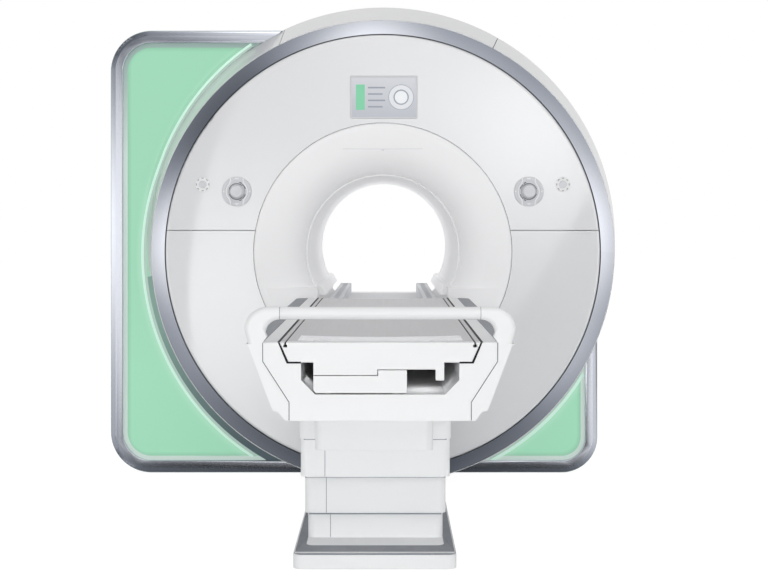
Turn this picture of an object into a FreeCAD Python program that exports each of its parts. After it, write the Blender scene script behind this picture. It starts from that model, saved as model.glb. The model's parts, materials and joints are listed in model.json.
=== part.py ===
import FreeCAD, Part
import math
import os
from Sketcher import Constraint

# Magnetic resonance scanner with a 70 cm bore and a patient table docked to its front.
# Millimetres. +X to the right, +Y away from the table into the bore, +Z up.
# The origin lies on the floor straight below the middle of the bore.

doc = FreeCAD.newDocument("Scanner")
sheet = doc.addObject("Spreadsheet::Sheet", "Dims")

# alias, value, what it measures
DRIVING = [
    # gantry
    ("axis_height", 1060, "bore axis above the floor"),
    ("half_length", 865, "bore middle to the front and rear cover planes"),
    ("bore_radius", 350, "inside of the bore liner"),
    ("seat_gap", 0.3, "space left where a round piece sits in another"),
    ("seam", 3, "open line between two covers"),
    ("cover_wall", 6, "moulded cover thickness"),
    ("ring_floor_gap", 9, "trim ring above the floor"),
    ("cover_edge", 12, "rounding of the front covers' rim"),
    ("seam_rise", 98, "level seam between the two front covers, above the axis"),
    ("carrier_depth", 60, "front plane to the ring that carries the covers"),
    ("carrier_width", 31, "how far that ring reaches inside the covers' rim"),
    ("bore_cover_radius", 581, "rim of the bore cover"),
    ("lip_width", 28, "lip that the bore cover sits on"),
    ("lip_depth", 20, "front plane to that lip"),
    ("ring_setback", 3, "trim ring behind the front plane"),
    ("ring_width", 67, "silver trim ring, inside to outside"),
    ("ring_sweep", 47, "how far its outer edge lies behind its inner edge"),
    ("ring_bulge", 170, "radius of its gently rounded face"),
    # bore cover
    ("bore_setback", 165, "front plane to the liner's end"),
    ("flare_radius", 150, "rounding of the bore's mouth"),
    ("flare_width", 120, "bore liner to the flare's outer edge"),
    ("flare_rise", 20, "front plane to the flare's outer edge"),
    ("dome_radius", 830, "gentle dome outside the flare"),
    ("shelf_rise", 43, "top of the shelves beside the table, above the table's top"),
    ("shelf_radius", 550, "how far the shelves reach out"),
    ("slot_clearance", 8, "opening for the tabletop beside it"),
    ("slot_floor_drop", 65, "lower edge of that opening, below the table's top"),
    # bore inside
    ("liner_wall", 6, "bore liner thickness"),
    ("trough_step", 28, "extra radius of the liner's lower trough"),
    ("trough_rise", 4, "where the trough begins, above the table's top"),
    ("ledge_reach", 31, "how far the bore ledges reach over the tabletop's opening"),
    ("ledge_slope", 20, "how far the ledges slope back up to their top"),
    ("rail_inset", 38, "bore rails inside the tabletop's edge"),
    ("rail_width", 62, "bore rails, width"),
    ("rail_top_drop", 15, "bore rails, top, below the table's top"),
    ("rail_web", 30, "thickness of the web under a rail"),
    ("rail_slot_length", 34, "slots in the rails, along the bore"),
    ("rail_slot_width", 26, "slots in the rails, across"),
    ("rail_slot_depth", 6, "slots in the rails, deep"),
    ("rail_slot_pitch", 72, "slot to slot"),
    # magnet
    ("body_coil_wall", 10, "body coil thickness"),
    ("body_coil_half", 600, "half of the body coil's length"),
    ("gradient_wall", 70, "gradient coil thickness"),
    ("gradient_half", 680, "half of the gradient coil's length"),
    ("vessel_inset", 81, "magnet vessel inside the covers' rim"),
    ("vessel_half", 692, "half of the vessel's length"),
    ("vessel_edge", 50, "rounding of the vessel's ends"),
    ("turret_radius", 110, "service turret on the vessel"),
    ("turret_rise", 160, "top of the turret above the vessel"),
    ("turret_setback", 200, "turret in front of the bore's middle"),
    ("turret_flange", 30, "how far its flange stands out"),
    ("foot_inner", 430, "magnet skids, inner side"),
    ("foot_outer", 570, "magnet skids, outer side"),
    ("foot_half_length", 440, "half of the skids' length"),
    ("foot_bar_height", 60, "cross bars between the skids"),
    ("foot_bar_width", 120, "cross bars, along the bore"),
    # body shell and housing
    ("shell_wall", 6, "body shell thickness"),
    ("shell_step", 5, "trim ring to the shell's front edge"),
    ("shell_flare", 54, "how much wider the shell is at the panel wall"),
    ("shell_lift", 52, "centre of its back edge above the axis"),
    ("carrier_wall", 8, "carrier ring thickness"),
    ("seam_left", 470, "upright seam at the top shell's left end, from the axis"),
    ("seam_right_angle", 61.6, "angle of the seam at its right end"),
    ("panel_setback", 350, "front plane to the coloured panels"),
    ("panel_thickness", 20, "coloured panels"),
    ("panel_gap", 20, "shell to the panels' round cut-out"),
    ("panel_bevel", 14, "bevel along that cut-out"),
    ("housing_left_reach", 189, "housing's left side outside the shell"),
    ("housing_right_cut", 87, "housing's right side inside the shell"),
    ("housing_top_cut", 114, "housing's top below the shell's crown"),
    ("housing_corner_left", 195, "left corner radius"),
    ("housing_corner_right", 170, "right corner radius"),
    ("housing_wall", 12, "housing thickness"),
    ("housing_rear", 700, "bore middle to the housing's rear rim"),
    ("housing_rim", 70, "rim of the housing's front wall inside the shell"),
    ("floor_gap", 35, "open floor beside the magnet's skids"),
    ("rear_edge", 20, "rounding of the rear cover"),
    ("frame_band", 60, "silver frame, width"),
    ("frame_step", 20, "flat step inside the band"),
    ("frame_rise", 14, "how far the band stands before the panels"),
    ("frame_outer_round", 26, "rounding of the band's outer edge"),
    ("frame_inner_round", 12, "rounding of the band's inner edge"),
    ("frame_end", 300, "where the frame's foot ends, from the axis"),
    ("frame_reach", 12, "how far the frames reach in, before they are cut along the shell"),
    # display
    ("display_width", 298, "display, across"),
    ("display_height", 189, "display, tall"),
    ("display_across", 5, "its middle, right of the axis"),
    ("display_rise", 117, "its middle above the bore cover's rim"),
    ("display_proud", 2, "how far it stands before the cover"),
    ("display_rim", 5, "bezel round the glass"),
    ("display_corner", 6, "bezel corner radius"),
    ("glass_thickness", 5, "recess for the display glass"),
    ("glass_setback", 1, "glass behind the bezel's face"),
    ("clip_rim", 9, "how far a trim's flange grips behind the cover"),
    # control clusters
    ("control_reach", 77, "large control outside the bore cover's rim"),
    ("control_rise", 175, "large control above the covers' seam"),
    ("control_radius", 67, "large control, outside"),
    ("control_proud", 2, "how far it stands before the cover"),
    ("control_depth", 17, "large control, front to back"),
    ("key_gap", 0.5, "space round a key"),
    ("key_thickness", 7, "a key, front to back"),
    ("key_proud", 1.5, "how far a key stands out"),
    ("key_room", 4, "free depth behind a key"),
    ("key_outer", 64, "outer arc of the keys"),
    ("end_key_inner", 47, "inner arc of the upper and lower keys"),
    ("end_key_half", 24.5, "half width of the upper and lower keys"),
    ("side_key_inner", 52, "inner arc of the side keys"),
    ("side_key_from", 33, "side keys' straight ends, from the middle"),
    ("rib_height", 1, "ribs between the keys"),
    ("rib_inner", 43, "inner arc of the ribs"),
    ("rib_outer", 48, "outer arc of the ribs"),
    ("dial_base_radius", 34, "dial at its foot"),
    ("dial_face_radius", 26, "dial at its face"),
    ("dial_height", 28, "how far the dial stands out"),
    ("dial_well_gap", 2.5, "dark gap round the dial"),
    ("dial_well_depth", 7, "depth of that gap"),
    ("dial_edge", 2, "rounding of the dial's edges"),
    ("dial_rim", 6, "flat rim round the dial's hollow face"),
    ("dial_shaft_radius", 10, "dial shaft"),
    ("dial_shaft_end", 4, "how far the shaft reaches out behind the control"),
    ("running_fit", 0.05, "space round a turning or sliding shaft"),
    ("small_inset", 169, "small control inside the covers' rim"),
    ("small_rise", 207, "small control above the covers' seam"),
    ("small_radius", 32, "small control, outside"),
    ("small_button_radius", 17, "its button"),
    ("small_mark_radius", 28, "ring of its eight marks"),
    ("small_mark_length", 11, "a mark, along the ring"),
    ("small_mark_width", 5, "a mark, across"),
    ("small_mark_depth", 1.5, "a mark, deep"),
    # patient table
    ("foot_end", 3065, "table's foot end before the bore's middle"),
    ("dock_gap", 20, "front plane to the table's far end"),
    ("table_drop", 205, "table's upper surface below the bore's axis"),
    ("frame_half", 334, "table frame, half width"),
    ("frame_lip", 43, "its upper edges, width"),
    ("frame_bottom_drop", 223, "its underside, below the table's top"),
    ("frame_lean", 75, "how far its sides lean out"),
    ("frame_bend_drop", 170, "where its sides start to lean out, below the table's top"),
    ("frame_waist_drop", 54, "where its sides turn upright, below the table's top"),
    ("frame_ledge_drop", 60, "ledge inside, below the table's top"),
    ("frame_slope", 25, "how far its inner sides slope in, down to the ledge"),
    ("frame_ledge_width", 41, "ledge inside, width"),
    ("frame_well_drop", 107, "foot of the ledge's wall, below the table's top"),
    ("frame_floor_drop", 148, "frame's floor inside, below the table's top"),
    ("frame_well_slope", 40, "how far its inner sides slope in below the ledge"),
    ("pad_length", 60, "slide pads at the docked end"),
    ("pad_root", 6, "how deep the pads are rooted in the ledge"),
    ("board_clearance", 3, "tabletop beside the frame's upper edges"),
    ("board_edge_slope", 13.5, "how far the tabletop's edge slopes in"),
    ("board_under_drop", 33, "underside of the tabletop's wings, below the table's top"),
    ("board_keel_drop", 55, "underside of the tabletop's middle, below the table's top"),
    ("board_gap", 2, "tabletop above the rails"),
    ("board_side_gap", 8, "tabletop beside the rails"),
    ("board_hollow", 7000, "radius of its gently hollow surface"),
    ("groove_inset", 18, "accessory groove inside the tabletop's edge"),
    ("groove_neck", 5, "groove's mouth"),
    ("groove_head", 11, "groove's width below"),
    ("groove_lip", 7, "depth of the mouth"),
    ("groove_depth", 14, "groove, full depth"),
    ("recess_depth", 9, "floor of the recess at the tabletop's foot, below the table's top"),
    ("recess_inset", 48, "recess inside the tabletop's edge"),
    ("recess_start", 30, "recess behind the end cap"),
    ("recess_length", 170, "recess, along the table"),
    ("plate_half", 118, "plate in the recess, half width"),
    ("plate_length", 90, "plate, along the table"),
    ("plate_rise", 4, "plate above the recess's floor"),
    ("socket_across", 172, "coil sockets from the middle"),
    ("socket_radius", 27, "coil sockets, outside"),
    ("socket_bore", 19, "coil sockets, inside"),
    ("runner_length", 75, "runners under the tabletop's foot"),
    ("runner_gap", 3, "runners outside the ledge's inner edge"),
    ("runner_width", 29, "runners, width"),
    ("cap_thickness", 40, "end cap"),
    ("cap_slope", 24.5, "how far the end cap's sides slope in"),
    ("cap_wing_drop", 57, "underside of its wings, below the table's top"),
    ("cap_box_reach", 5, "its box beside the frame's floor"),
    ("cap_box_deep_drop", 93, "underside of its box, left, below the table's top"),
    ("cap_box_shallow_drop", 77, "underside of its box, right, below the table's top"),
    ("cap_step", 8, "where that underside steps, left of the middle"),
    ("bracket_inset", 8, "bracket inside the box's right side"),
    ("bracket_width", 24, "bracket, width"),
    ("cap_bracket_bottom_drop", 108, "bracket, lower end, below the table's top"),
    ("cable_right", 76, "cable box, right side"),
    ("cable_gap", 2, "cable box below the end cap"),
    ("cable_lift", 4, "cable box above the frame's floor"),
    ("cable_length", 700, "cable box, along the table"),
    ("cable_runner", 20, "its runners, set in from its sides"),
    # side covers and handle
    ("side_top_drop", 5, "side covers' top, below the table's top"),
    ("side_reach", 49, "side covers' upper edge outside the frame"),
    ("side_edge", 8, "how far they fall back below that edge"),
    ("side_lip_drop", 10, "height of that corner, below the table's top"),
    ("side_mid_drop", 120, "side covers' middle corner, below the table's top"),
    ("side_low_reach", 46, "side covers' lower corner outside the frame's underside"),
    ("side_low_drop", 195, "its height, below the table's top"),
    ("side_step_reach", 31, "side covers' small step outside the frame's underside"),
    ("side_step_drop", 197, "its height, below the table's top"),
    ("side_foot_reach", 11, "side covers' foot outside the frame's underside"),
    ("ledge_thickness", 6, "grey ledges"),
    ("ledge_foot_gap", 65, "table's foot end to the ledges"),
    ("ledge_far_gap", 30, "ledges' far end to the table's"),
    ("ledge_round", 45, "their rounded far corners"),
    ("handle_radius", 18, "handle bar"),
    ("handle_rise", 82, "its axis, above the table's top"),
    ("handle_inset", 47, "its ends inside the frame's sides"),
    ("arm_reach", 53, "handle arms outside the frame"),
    ("arm_outer_rise", 35, "where their elbow starts outside, above the table's top"),
    ("arm_inset", 7, "handle arms, inner side inside the frame's"),
    ("arm_root_inset", 11, "foot of the hand hole inside the frame's side"),
    ("arm_root_rise", 15, "its height, above the table's top"),
    ("arm_round", 15, "rounding of the arms"),
    ("arm_sink", 4, "how deep the arms are rooted in the side covers"),
    # column
    ("column_across", 23, "column's middle, left of the axis"),
    ("column_front", 2095, "upper shroud's front before the middle"),
    ("column_rear", 1145, "its rear"),
    ("column_half", 272, "its half width"),
    ("column_round", 28, "its corners"),
    ("shroud_wall", 3.5, "shroud sheet"),
    ("shroud_gap", 0.5, "first shroud to the second"),
    ("upper_bottom", 420, "lower edge of the upper shroud"),
    ("middle_bottom", 284, "lower edge of the middle shroud"),
    ("lower_bottom", 149, "lower edge of the lower shroud"),
    ("shroud_overlap", 60, "how far each shroud reaches into the next"),
    ("lower_inset", 14, "lower shroud inside the middle one"),
    ("foot_inset", 10, "column foot inside the lower shroud"),
    ("lower_front_inset", 25, "lower shroud's front behind the middle one's"),
    ("foot_front_inset", 22, "column foot's front behind the lower one's"),
    ("guide_height", 30, "guide bands at the shrouds' upper ends"),
    ("lift_setback", 1620, "lifting cylinder before the middle"),
    ("tube_radius", 70, "lifting cylinder, outside"),
    ("tube_wall", 8, "its wall"),
    ("tube_top", 310, "its upper end"),
    ("sleeve_wall", 12, "telescopic sleeve's wall"),
    ("sleeve_bottom", 252, "sleeve, lower end"),
    ("sleeve_top", 500, "sleeve, upper end"),
    ("rod_bottom", 440, "rod, lower end"),
    ("drive_half", 193, "drive housing, half width"),
    ("drive_front", 2515, "its front before the middle"),
    ("drive_bottom_drop", 403, "its underside, below the table's top"),
    ("drive_round", 24, "its corners"),
    # plinth
    ("plinth_half", 283, "plinth, half width"),
    ("plinth_front", 2269, "plinth's front before the middle"),
    ("plinth_rear", 1000, "plinth's rear"),
    ("plinth_height", 50, "plinth's lower step"),
    ("plinth_round", 30, "its corners"),
    ("boss_height", 56, "its raised middle"),
    ("boss_front", 2153, "raised middle's front"),
    ("tray_inset", 2, "tray's edge inside the plinth's"),
    ("tray_thickness", 5, "tray"),
    ("tray_rear", 1135, "tray's rear"),
    ("duct_half", 150, "cable duct to the gantry, half width"),
    ("duct_front", 1130, "cable duct's front"),
    ("duct_height", 180, "cable duct's top"),
]

VALUES = {}
for row, (alias, value, meaning) in enumerate(DRIVING, start=1):
    sheet.set(f"A{row}", meaning)
    sheet.set(f"B{row}", str(value))
    sheet.setAlias(f"B{row}", alias)
    VALUES[alias] = value
doc.recompute()


class Size:
    """A number together with the sheet formula that it is bound to."""

    def __init__(self, value, formula):
        self.value = float(value)
        self.formula = formula

    def __add__(self, other):
        other = as_size(other)
        return Size(self.value + other.value, f"({self.formula} + {other.formula})")

    def __sub__(self, other):
        other = as_size(other)
        return Size(self.value - other.value, f"({self.formula} - {other.formula})")

    def __mul__(self, other):
        other = as_size(other)
        return Size(self.value * other.value, f"({self.formula} * {other.formula})")

    def __truediv__(self, other):
        other = as_size(other)
        return Size(self.value / other.value, f"({self.formula} / {other.formula})")

    def __radd__(self, other):
        return as_size(other) + self

    def __rsub__(self, other):
        return as_size(other) - self

    def __rmul__(self, other):
        return as_size(other) * self

    def __neg__(self):
        return Size(-self.value, f"(-1 * {self.formula})")


def as_size(number):
    return number if isinstance(number, Size) else Size(number, repr(float(number)))


def dim(alias):
    return Size(VALUES[alias], f"Dims.{alias}")


def leg(hypotenuse, other_leg):
    """The third side of a right triangle."""
    other_leg = as_size(other_leg)
    square = hypotenuse.value**2 - other_leg.value**2
    formula = f"sqrt({hypotenuse.formula} ^ 2 - {other_leg.formula} ^ 2)"
    return Size(math.sqrt(square), formula)


def polar(radius, angle):
    """X and Z of a point at an angle in degrees, from +X towards +Z."""
    turn = math.radians(angle.value)
    x = Size(radius.value * math.cos(turn), f"({radius.formula} * cos({angle.formula} * 1 deg))")
    z = Size(radius.value * math.sin(turn), f"({radius.formula} * sin({angle.formula} * 1 deg))")
    return x, z


# ---------------------------------------------------------------- drawing helpers
PIECES = []
THIN = 0.01
PLANES = {"XY": "XY_Plane", "XZ": "XZ_Plane", "YZ": "YZ_Plane"}


def bind(target, path, size):
    if "Dims." in size.formula:
        target.setExpression(path, size.formula)


def piece(label, x=0, y=0, z=0, turned=False):
    """A new body whose own origin lies at x, y, z; turned faces it to the rear."""
    body = doc.addObject("PartDesign::Body", label)
    body.Label = label
    x, y, z = as_size(x), as_size(y), as_size(z)
    about_z = FreeCAD.Rotation(FreeCAD.Vector(0, 0, 1), 180 if turned else 0)
    body.Placement = FreeCAD.Placement(FreeCAD.Vector(x.value, y.value, z.value), about_z)
    for name, size in (("x", x), ("y", y), ("z", z)):
        bind(body, f"Placement.Base.{name}", size)
    PIECES.append(body)
    return body


def new_sketch(body, plane, height):
    """A sketch parallel to an origin plane, at a height along +X, +Y or +Z."""
    sketch = body.newObject("Sketcher::SketchObject", f"{body.Name}_sketch")
    roles = {feature.Role: feature for feature in body.Origin.OriginFeatures}
    sketch.AttachmentSupport = [(roles[PLANES[plane]], "")]
    sketch.MapMode = "FlatFace"
    offset = -as_size(height) if plane == "XZ" else as_size(height)
    sketch.AttachmentOffset = FreeCAD.Placement(
        FreeCAD.Vector(0, 0, offset.value), FreeCAD.Rotation()
    )
    bind(sketch, "AttachmentOffset.Base.z", offset)
    return sketch


def pin(sketch, geometry, end, x, y):
    """Hold one point of the sketch at x, y."""
    origin, x_axis, y_axis = (-1, 1), -1, -2
    for kind, size, axis in (("DistanceX", x, y_axis), ("DistanceY", y, x_axis)):
        on_axis = abs(size.value) < 1e-9 and "Dims." not in size.formula
        if on_axis:
            sketch.addConstraint(Constraint("PointOnObject", geometry, end, axis))
            continue
        index = sketch.addConstraint(Constraint(kind, *origin, geometry, end, size.value))
        bind(sketch, f"Constraints[{index}]", size)


def hold_radius(sketch, geometry, radius):
    index = sketch.addConstraint(Constraint("Radius", geometry, radius.value))
    bind(sketch, f"Constraints[{index}]", radius)


def add_circle(sketch, x, y, radius):
    x, y, radius = as_size(x), as_size(y), as_size(radius)
    centre = FreeCAD.Vector(x.value, y.value, 0)
    index = sketch.addGeometry(Part.Circle(centre, FreeCAD.Vector(0, 0, 1), radius.value), False)
    pin(sketch, index, 3, x, y)
    hold_radius(sketch, index, radius)


def add_outline(sketch, corners):
    """Join corners (x, y) or (x, y, radius) into a closed outline.

    A radius makes the side after its corner an arc: positive bends to the left of the way
    round, negative to the right, and each arc stays under half a turn.
    """
    points = [(as_size(corner[0]), as_size(corner[1])) for corner in corners]
    bends = [as_size(corner[2]) if len(corner) > 2 else None for corner in corners]
    ends = []
    for number, bend in enumerate(bends):
        here = FreeCAD.Vector(points[number][0].value, points[number][1].value, 0)
        following = points[(number + 1) % len(points)]
        there = FreeCAD.Vector(following[0].value, following[1].value, 0)
        if bend is None:
            index = sketch.addGeometry(Part.LineSegment(here, there), False)
            ends.append((index, 1, 2))
            continue
        half = (there - here) / 2
        left = FreeCAD.Vector(-half.y, half.x, 0).normalize()
        side = 1 if bend.value > 0 else -1
        radius = abs(bend.value)
        reach = math.sqrt(max(radius**2 - half.Length**2, 0))
        centre = here + half + left * (side * reach)
        first, last = (here, there) if side > 0 else (there, here)
        from_angle = math.atan2(first.y - centre.y, first.x - centre.x)
        to_angle = math.atan2(last.y - centre.y, last.x - centre.x)
        circle = Part.Circle(centre, FreeCAD.Vector(0, 0, 1), radius)
        index = sketch.addGeometry(Part.ArcOfCircle(circle, from_angle, to_angle), False)
        ends.append((index, 1, 2) if side > 0 else (index, 2, 1))
    for number, (index, start, _) in enumerate(ends):
        before, _, finish = ends[number - 1]
        sketch.addConstraint(Constraint("Coincident", before, finish, index, start))
        pin(sketch, index, start, *points[number])
    for (index, _, _), bend in zip(ends, bends):
        if bend is not None:
            hold_radius(sketch, index, bend if bend.value > 0 else -bend)


def draw(body, plane, height, shapes):
    """A sketch of closed outlines; a shape is a corner list or a circle (x, y, radius)."""
    sketch = new_sketch(body, plane, height)
    for shape in shapes:
        if isinstance(shape, tuple):
            add_circle(sketch, *shape)
        else:
            add_outline(sketch, shape)
    return sketch


def settle(body, feature, grows):
    """Recompute, and make sure that the feature changed the solid the way it should."""
    before = body.Tip.Shape.Volume if body.Tip and body.Tip is not feature else 0
    body.Tip = feature
    doc.recompute()
    after = feature.Shape.Volume
    if (after <= before) if grows else (after >= before):
        raise RuntimeError(f"{feature.Name} changed nothing")
    return feature


def extrude(body, plane, low, high, shapes, cut=False):
    """Pad or pocket outlines between two heights along the plane's upward axis."""
    low, high = as_size(low), as_size(high)
    previous = body.Tip
    sketch = draw(body, plane, low, shapes)
    kind = "Pocket" if cut else "Pad"
    feature = body.newObject(f"PartDesign::{kind}", f"{body.Name}_{kind.lower()}")
    feature.Profile = sketch
    length = high - low
    feature.Length = length.value
    bind(feature, "Length", length)
    feature.Reversed = (plane == "XZ") != cut
    sketch.Visibility = False
    body.Tip = previous
    return settle(body, feature, grows=not cut)


def revolve(body, corners):
    """Turn a profile, given as radius and depth along Y, about the body's Y axis."""
    sketch = draw(body, "XY", 0, [corners])
    feature = body.newObject("PartDesign::Revolution", f"{body.Name}_turned")
    feature.Profile = sketch
    feature.ReferenceAxis = (sketch, ["V_Axis"])
    feature.Angle = 360
    sketch.Visibility = False
    body.Tip = None
    return settle(body, feature, grows=True)


def loft(body, first, second, cut=False):
    """Join two circles, each given as a depth along Y, a height and a radius."""
    previous = body.Tip
    sketches = [draw(body, "XZ", depth, [(0, height, radius)]) for depth, height, radius in (first, second)]
    kind = "Subtractive" if cut else "Additive"
    feature = body.newObject(f"PartDesign::{kind}Loft", f"{body.Name}_loft")
    feature.Profile = sketches[0]
    feature.Sections = [sketches[1]]
    feature.Ruled = True
    body.Tip = previous
    return settle(body, feature, grows=not cut)


def round_edges(body, chosen, radius):
    """Fillet the edges of the body that a test picks."""
    base = body.Tip
    names = [f"Edge{n}" for n, edge in enumerate(base.Shape.Edges, start=1) if chosen(edge)]
    if not names:
        raise RuntimeError(f"{body.Label} has no edge to round")
    feature = body.newObject("PartDesign::Fillet", f"{body.Name}_fillet")
    feature.Base = (base, names)
    feature.Radius = radius.value
    bind(feature, "Radius", radius)
    body.Tip = feature
    doc.recompute()
    return feature


def repeat(body, feature, axis, copies, length=None):
    """Repeat a feature round or along an axis of its sketch."""
    kind = "Polar" if length is None else "Linear"
    pattern = body.newObject(f"PartDesign::{kind}Pattern", f"{body.Name}_pattern")
    pattern.Originals = [feature]
    sketch = feature.Profile[0]
    if length is None:
        pattern.Axis = (sketch, [axis])
        pattern.Angle = 360
    else:
        pattern.Direction = (sketch, [axis])
        pattern.Length = length.value
        bind(pattern, "Length", length)
    pattern.Occurrences = copies
    return settle(body, pattern, grows=feature.TypeId.endswith("Pad"))


def box(left, right, bottom, top):
    return [(left, bottom), (right, bottom), (right, top), (left, top)]


def round_box(left, right, bottom, top, radius):
    """A rectangle with four equal round corners, anticlockwise."""
    left, right, bottom, top = map(as_size, (left, right, bottom, top))
    return [
        (left + radius, bottom), (right - radius, bottom, radius),
        (right, bottom + radius), (right, top - radius, radius),
        (right - radius, top), (left + radius, top, radius),
        (left, top - radius), (left, bottom + radius, radius),
    ]


def upright(edge):
    """True for a straight edge along Z."""
    box_of = edge.BoundBox
    return box_of.XLength < THIN and box_of.YLength < THIN and box_of.ZLength > THIN


def in_plane_y(depth):
    """A test for edges that lie at one depth along Y."""
    return lambda edge: edge.BoundBox.YLength < THIN and abs(edge.BoundBox.YMin - depth.value) < THIN


# ---------------------------------------------------------------- shared sizes
AXIS = dim("axis_height")
FRONT = -dim("half_length")
WALL = dim("cover_wall")
GAP = dim("seat_gap")
CARRIER = FRONT + dim("carrier_depth")
RING_OUTSIDE = AXIS - dim("ring_floor_gap")
RING_INSIDE = RING_OUTSIDE - dim("ring_width")
COVER_RADIUS = RING_INSIDE - dim("seam")
CARRIER_RADIUS = COVER_RADIUS - dim("carrier_width")
VESSEL_RADIUS = COVER_RADIUS - dim("vessel_inset")
SHELL_FRONT = RING_OUTSIDE + dim("shell_step")
SHELL_RADIUS = SHELL_FRONT + dim("shell_flare")
SHELL_HEIGHT = AXIS + dim("shell_lift")
HOUSING_LEFT = SHELL_RADIUS + dim("housing_left_reach")
HOUSING_RIGHT = SHELL_RADIUS - dim("housing_right_cut")
HOUSING_TOP = SHELL_HEIGHT + SHELL_RADIUS - dim("housing_top_cut")
FRAME_CURVE = SHELL_RADIUS - dim("frame_reach")
SEAM = AXIS + dim("seam_rise")
CONTROL_LEVEL = SEAM + dim("control_rise")
SMALL_LEVEL = SEAM + dim("small_rise")
CONTROL_ACROSS = dim("bore_cover_radius") + dim("control_reach")
SMALL_ACROSS = COVER_RADIUS - dim("small_inset")
DISPLAY_LEVEL = AXIS + dim("bore_cover_radius") + dim("display_rise")
TABLE_TOP = AXIS - dim("table_drop")
PANEL_WALL = FRONT + dim("panel_setback") + dim("panel_thickness")
PANEL_FRONT = FRONT + dim("panel_setback")
LINER_END = dim("half_length") - dim("bore_setback")
LINER_RADIUS = dim("bore_radius") + dim("liner_wall")
TROUGH = dim("bore_radius") + dim("trough_step")
TROUGH_OUTSIDE = TROUGH + dim("liner_wall")
COIL_INSIDE = TROUGH_OUTSIDE + GAP
COIL_OUTSIDE = COIL_INSIDE + dim("body_coil_wall")
GRADIENT_INSIDE = COIL_OUTSIDE + GAP
GRADIENT_OUTSIDE = GRADIENT_INSIDE + dim("gradient_wall")
VESSEL_INSIDE = GRADIENT_OUTSIDE + GAP
COVER_BACK = FRONT + WALL

# half widths of the table, from its frame inwards
FRAME = dim("frame_half")
FRAME_BOTTOM = FRAME - dim("frame_lean")
FRAME_MOUTH = FRAME - dim("frame_lip")
LEDGE_OUTER = FRAME_MOUTH - dim("frame_slope")
LEDGE_INNER = LEDGE_OUTER - dim("frame_ledge_width")
FRAME_FLOOR = LEDGE_INNER - dim("frame_well_slope")
BOARD = FRAME_MOUTH - dim("board_clearance")
GROOVE = BOARD - dim("groove_inset")
SLOT = BOARD + dim("slot_clearance")
RAIL_OUTER = BOARD - dim("rail_inset")
RAIL_INNER = RAIL_OUTER - dim("rail_width")
CAP_BOX = FRAME_FLOOR + dim("cap_box_reach")
SIDE_OUTER = FRAME + dim("side_reach")
HANDLE = FRAME - dim("handle_inset")


def above(alias):
    """A height given as a rise above the table's top."""
    return TABLE_TOP + dim(alias)


def below(alias):
    """A height given as a drop below the table's top."""
    return TABLE_TOP - dim(alias)


# ---------------------------------------------------------------- magnet and bore
def magnet_vessel():
    """Ring-shaped vacuum vessel with rounded ends and a service turret on top."""
    body = piece("magnet_vessel", z=AXIS)
    half, outside, edge = dim("vessel_half"), VESSEL_RADIUS, dim("vessel_edge")
    revolve(body, [
        (VESSEL_INSIDE, -half), (outside - edge, -half, edge),
        (outside, -half + edge), (outside, half - edge, edge),
        (outside - edge, half), (VESSEL_INSIDE, half),
    ])
    top = outside + dim("turret_rise")
    radius, middle = dim("turret_radius"), -dim("turret_setback")
    flange = dim("turret_flange")
    extrude(body, "XY", outside - edge, top, [(0, middle, radius)])
    extrude(body, "XY", top - flange, top, [(0, middle, radius + flange)])


def coil(label, inside, outside, half):
    body = piece(label, z=AXIS)
    revolve(body, [(inside, -half), (outside, -half), (outside, half), (inside, half)])


def bore_liner():
    """The tube that the patient lies in, with a wider trough for the tabletop below."""
    body = piece("bore_liner", z=AXIS)
    step = above("trough_rise") - AXIS
    lid = step + dim("liner_wall")
    inside, outside = dim("bore_radius"), LINER_RADIUS
    outer = [
        (-leg(TROUGH_OUTSIDE, lid), lid, TROUGH_OUTSIDE), (0, -TROUGH_OUTSIDE, TROUGH_OUTSIDE),
        (leg(TROUGH_OUTSIDE, lid), lid), (leg(outside, lid), lid, outside),
        (0, outside, outside), (-leg(outside, lid), lid),
    ]
    inner = [
        (-leg(TROUGH, step), step, TROUGH), (0, -TROUGH, TROUGH),
        (leg(TROUGH, step), step), (leg(inside, step), step, inside),
        (0, inside, inside), (-leg(inside, step), step),
    ]
    extrude(body, "XZ", -LINER_END, LINER_END, [outer, inner])


def bore_ledge(label, side):
    """Long ledge beside the tabletop inside the bore."""
    body = piece(label, z=AXIS)
    low, high = above("trough_rise") - AXIS, above("shelf_rise") - AXIS
    wall = dim("bore_radius") - GAP
    inner = SLOT - dim("ledge_reach")
    extrude(body, "XZ", -LINER_END, LINER_END, [[
        (side * inner, low), (side * leg(wall, low), low, side * wall),
        (side * leg(wall, high), high), (side * (inner + dim("ledge_slope")), high),
    ]])


def bore_rail(label, side):
    """Slotted rail that carries the tabletop through the bore."""
    body = piece(label, z=AXIS)
    inner, outer, web = RAIL_INNER, RAIL_OUTER, dim("rail_web")
    top, under = below("rail_top_drop") - AXIS, below("slot_floor_drop") - AXIS
    middle = (inner + outer) / 2
    floor = TROUGH - GAP
    near, far = middle - web / 2, middle + web / 2
    extrude(body, "XZ", FRONT, -FRONT, [box(side * inner, side * outer, under, top)])
    extrude(body, "XZ", -LINER_END, LINER_END, [[
        (side * near, -leg(floor, near), side * floor), (side * far, -leg(floor, far)),
        (side * far, under), (side * near, under),
    ]])
    length, width = dim("rail_slot_length"), dim("rail_slot_width")
    pitch = dim("rail_slot_pitch")
    first = FRONT + pitch
    slot = extrude(body, "XY", top - dim("rail_slot_depth"), top, [box(
        side * middle - width / 2, side * middle + width / 2, first - length / 2, first + length / 2,
    )], cut=True)
    steps = int((2 * -FRONT.value - 2 * pitch.value) // pitch.value)
    repeat(body, slot, "V_Axis", steps + 1, pitch * steps)


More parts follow.
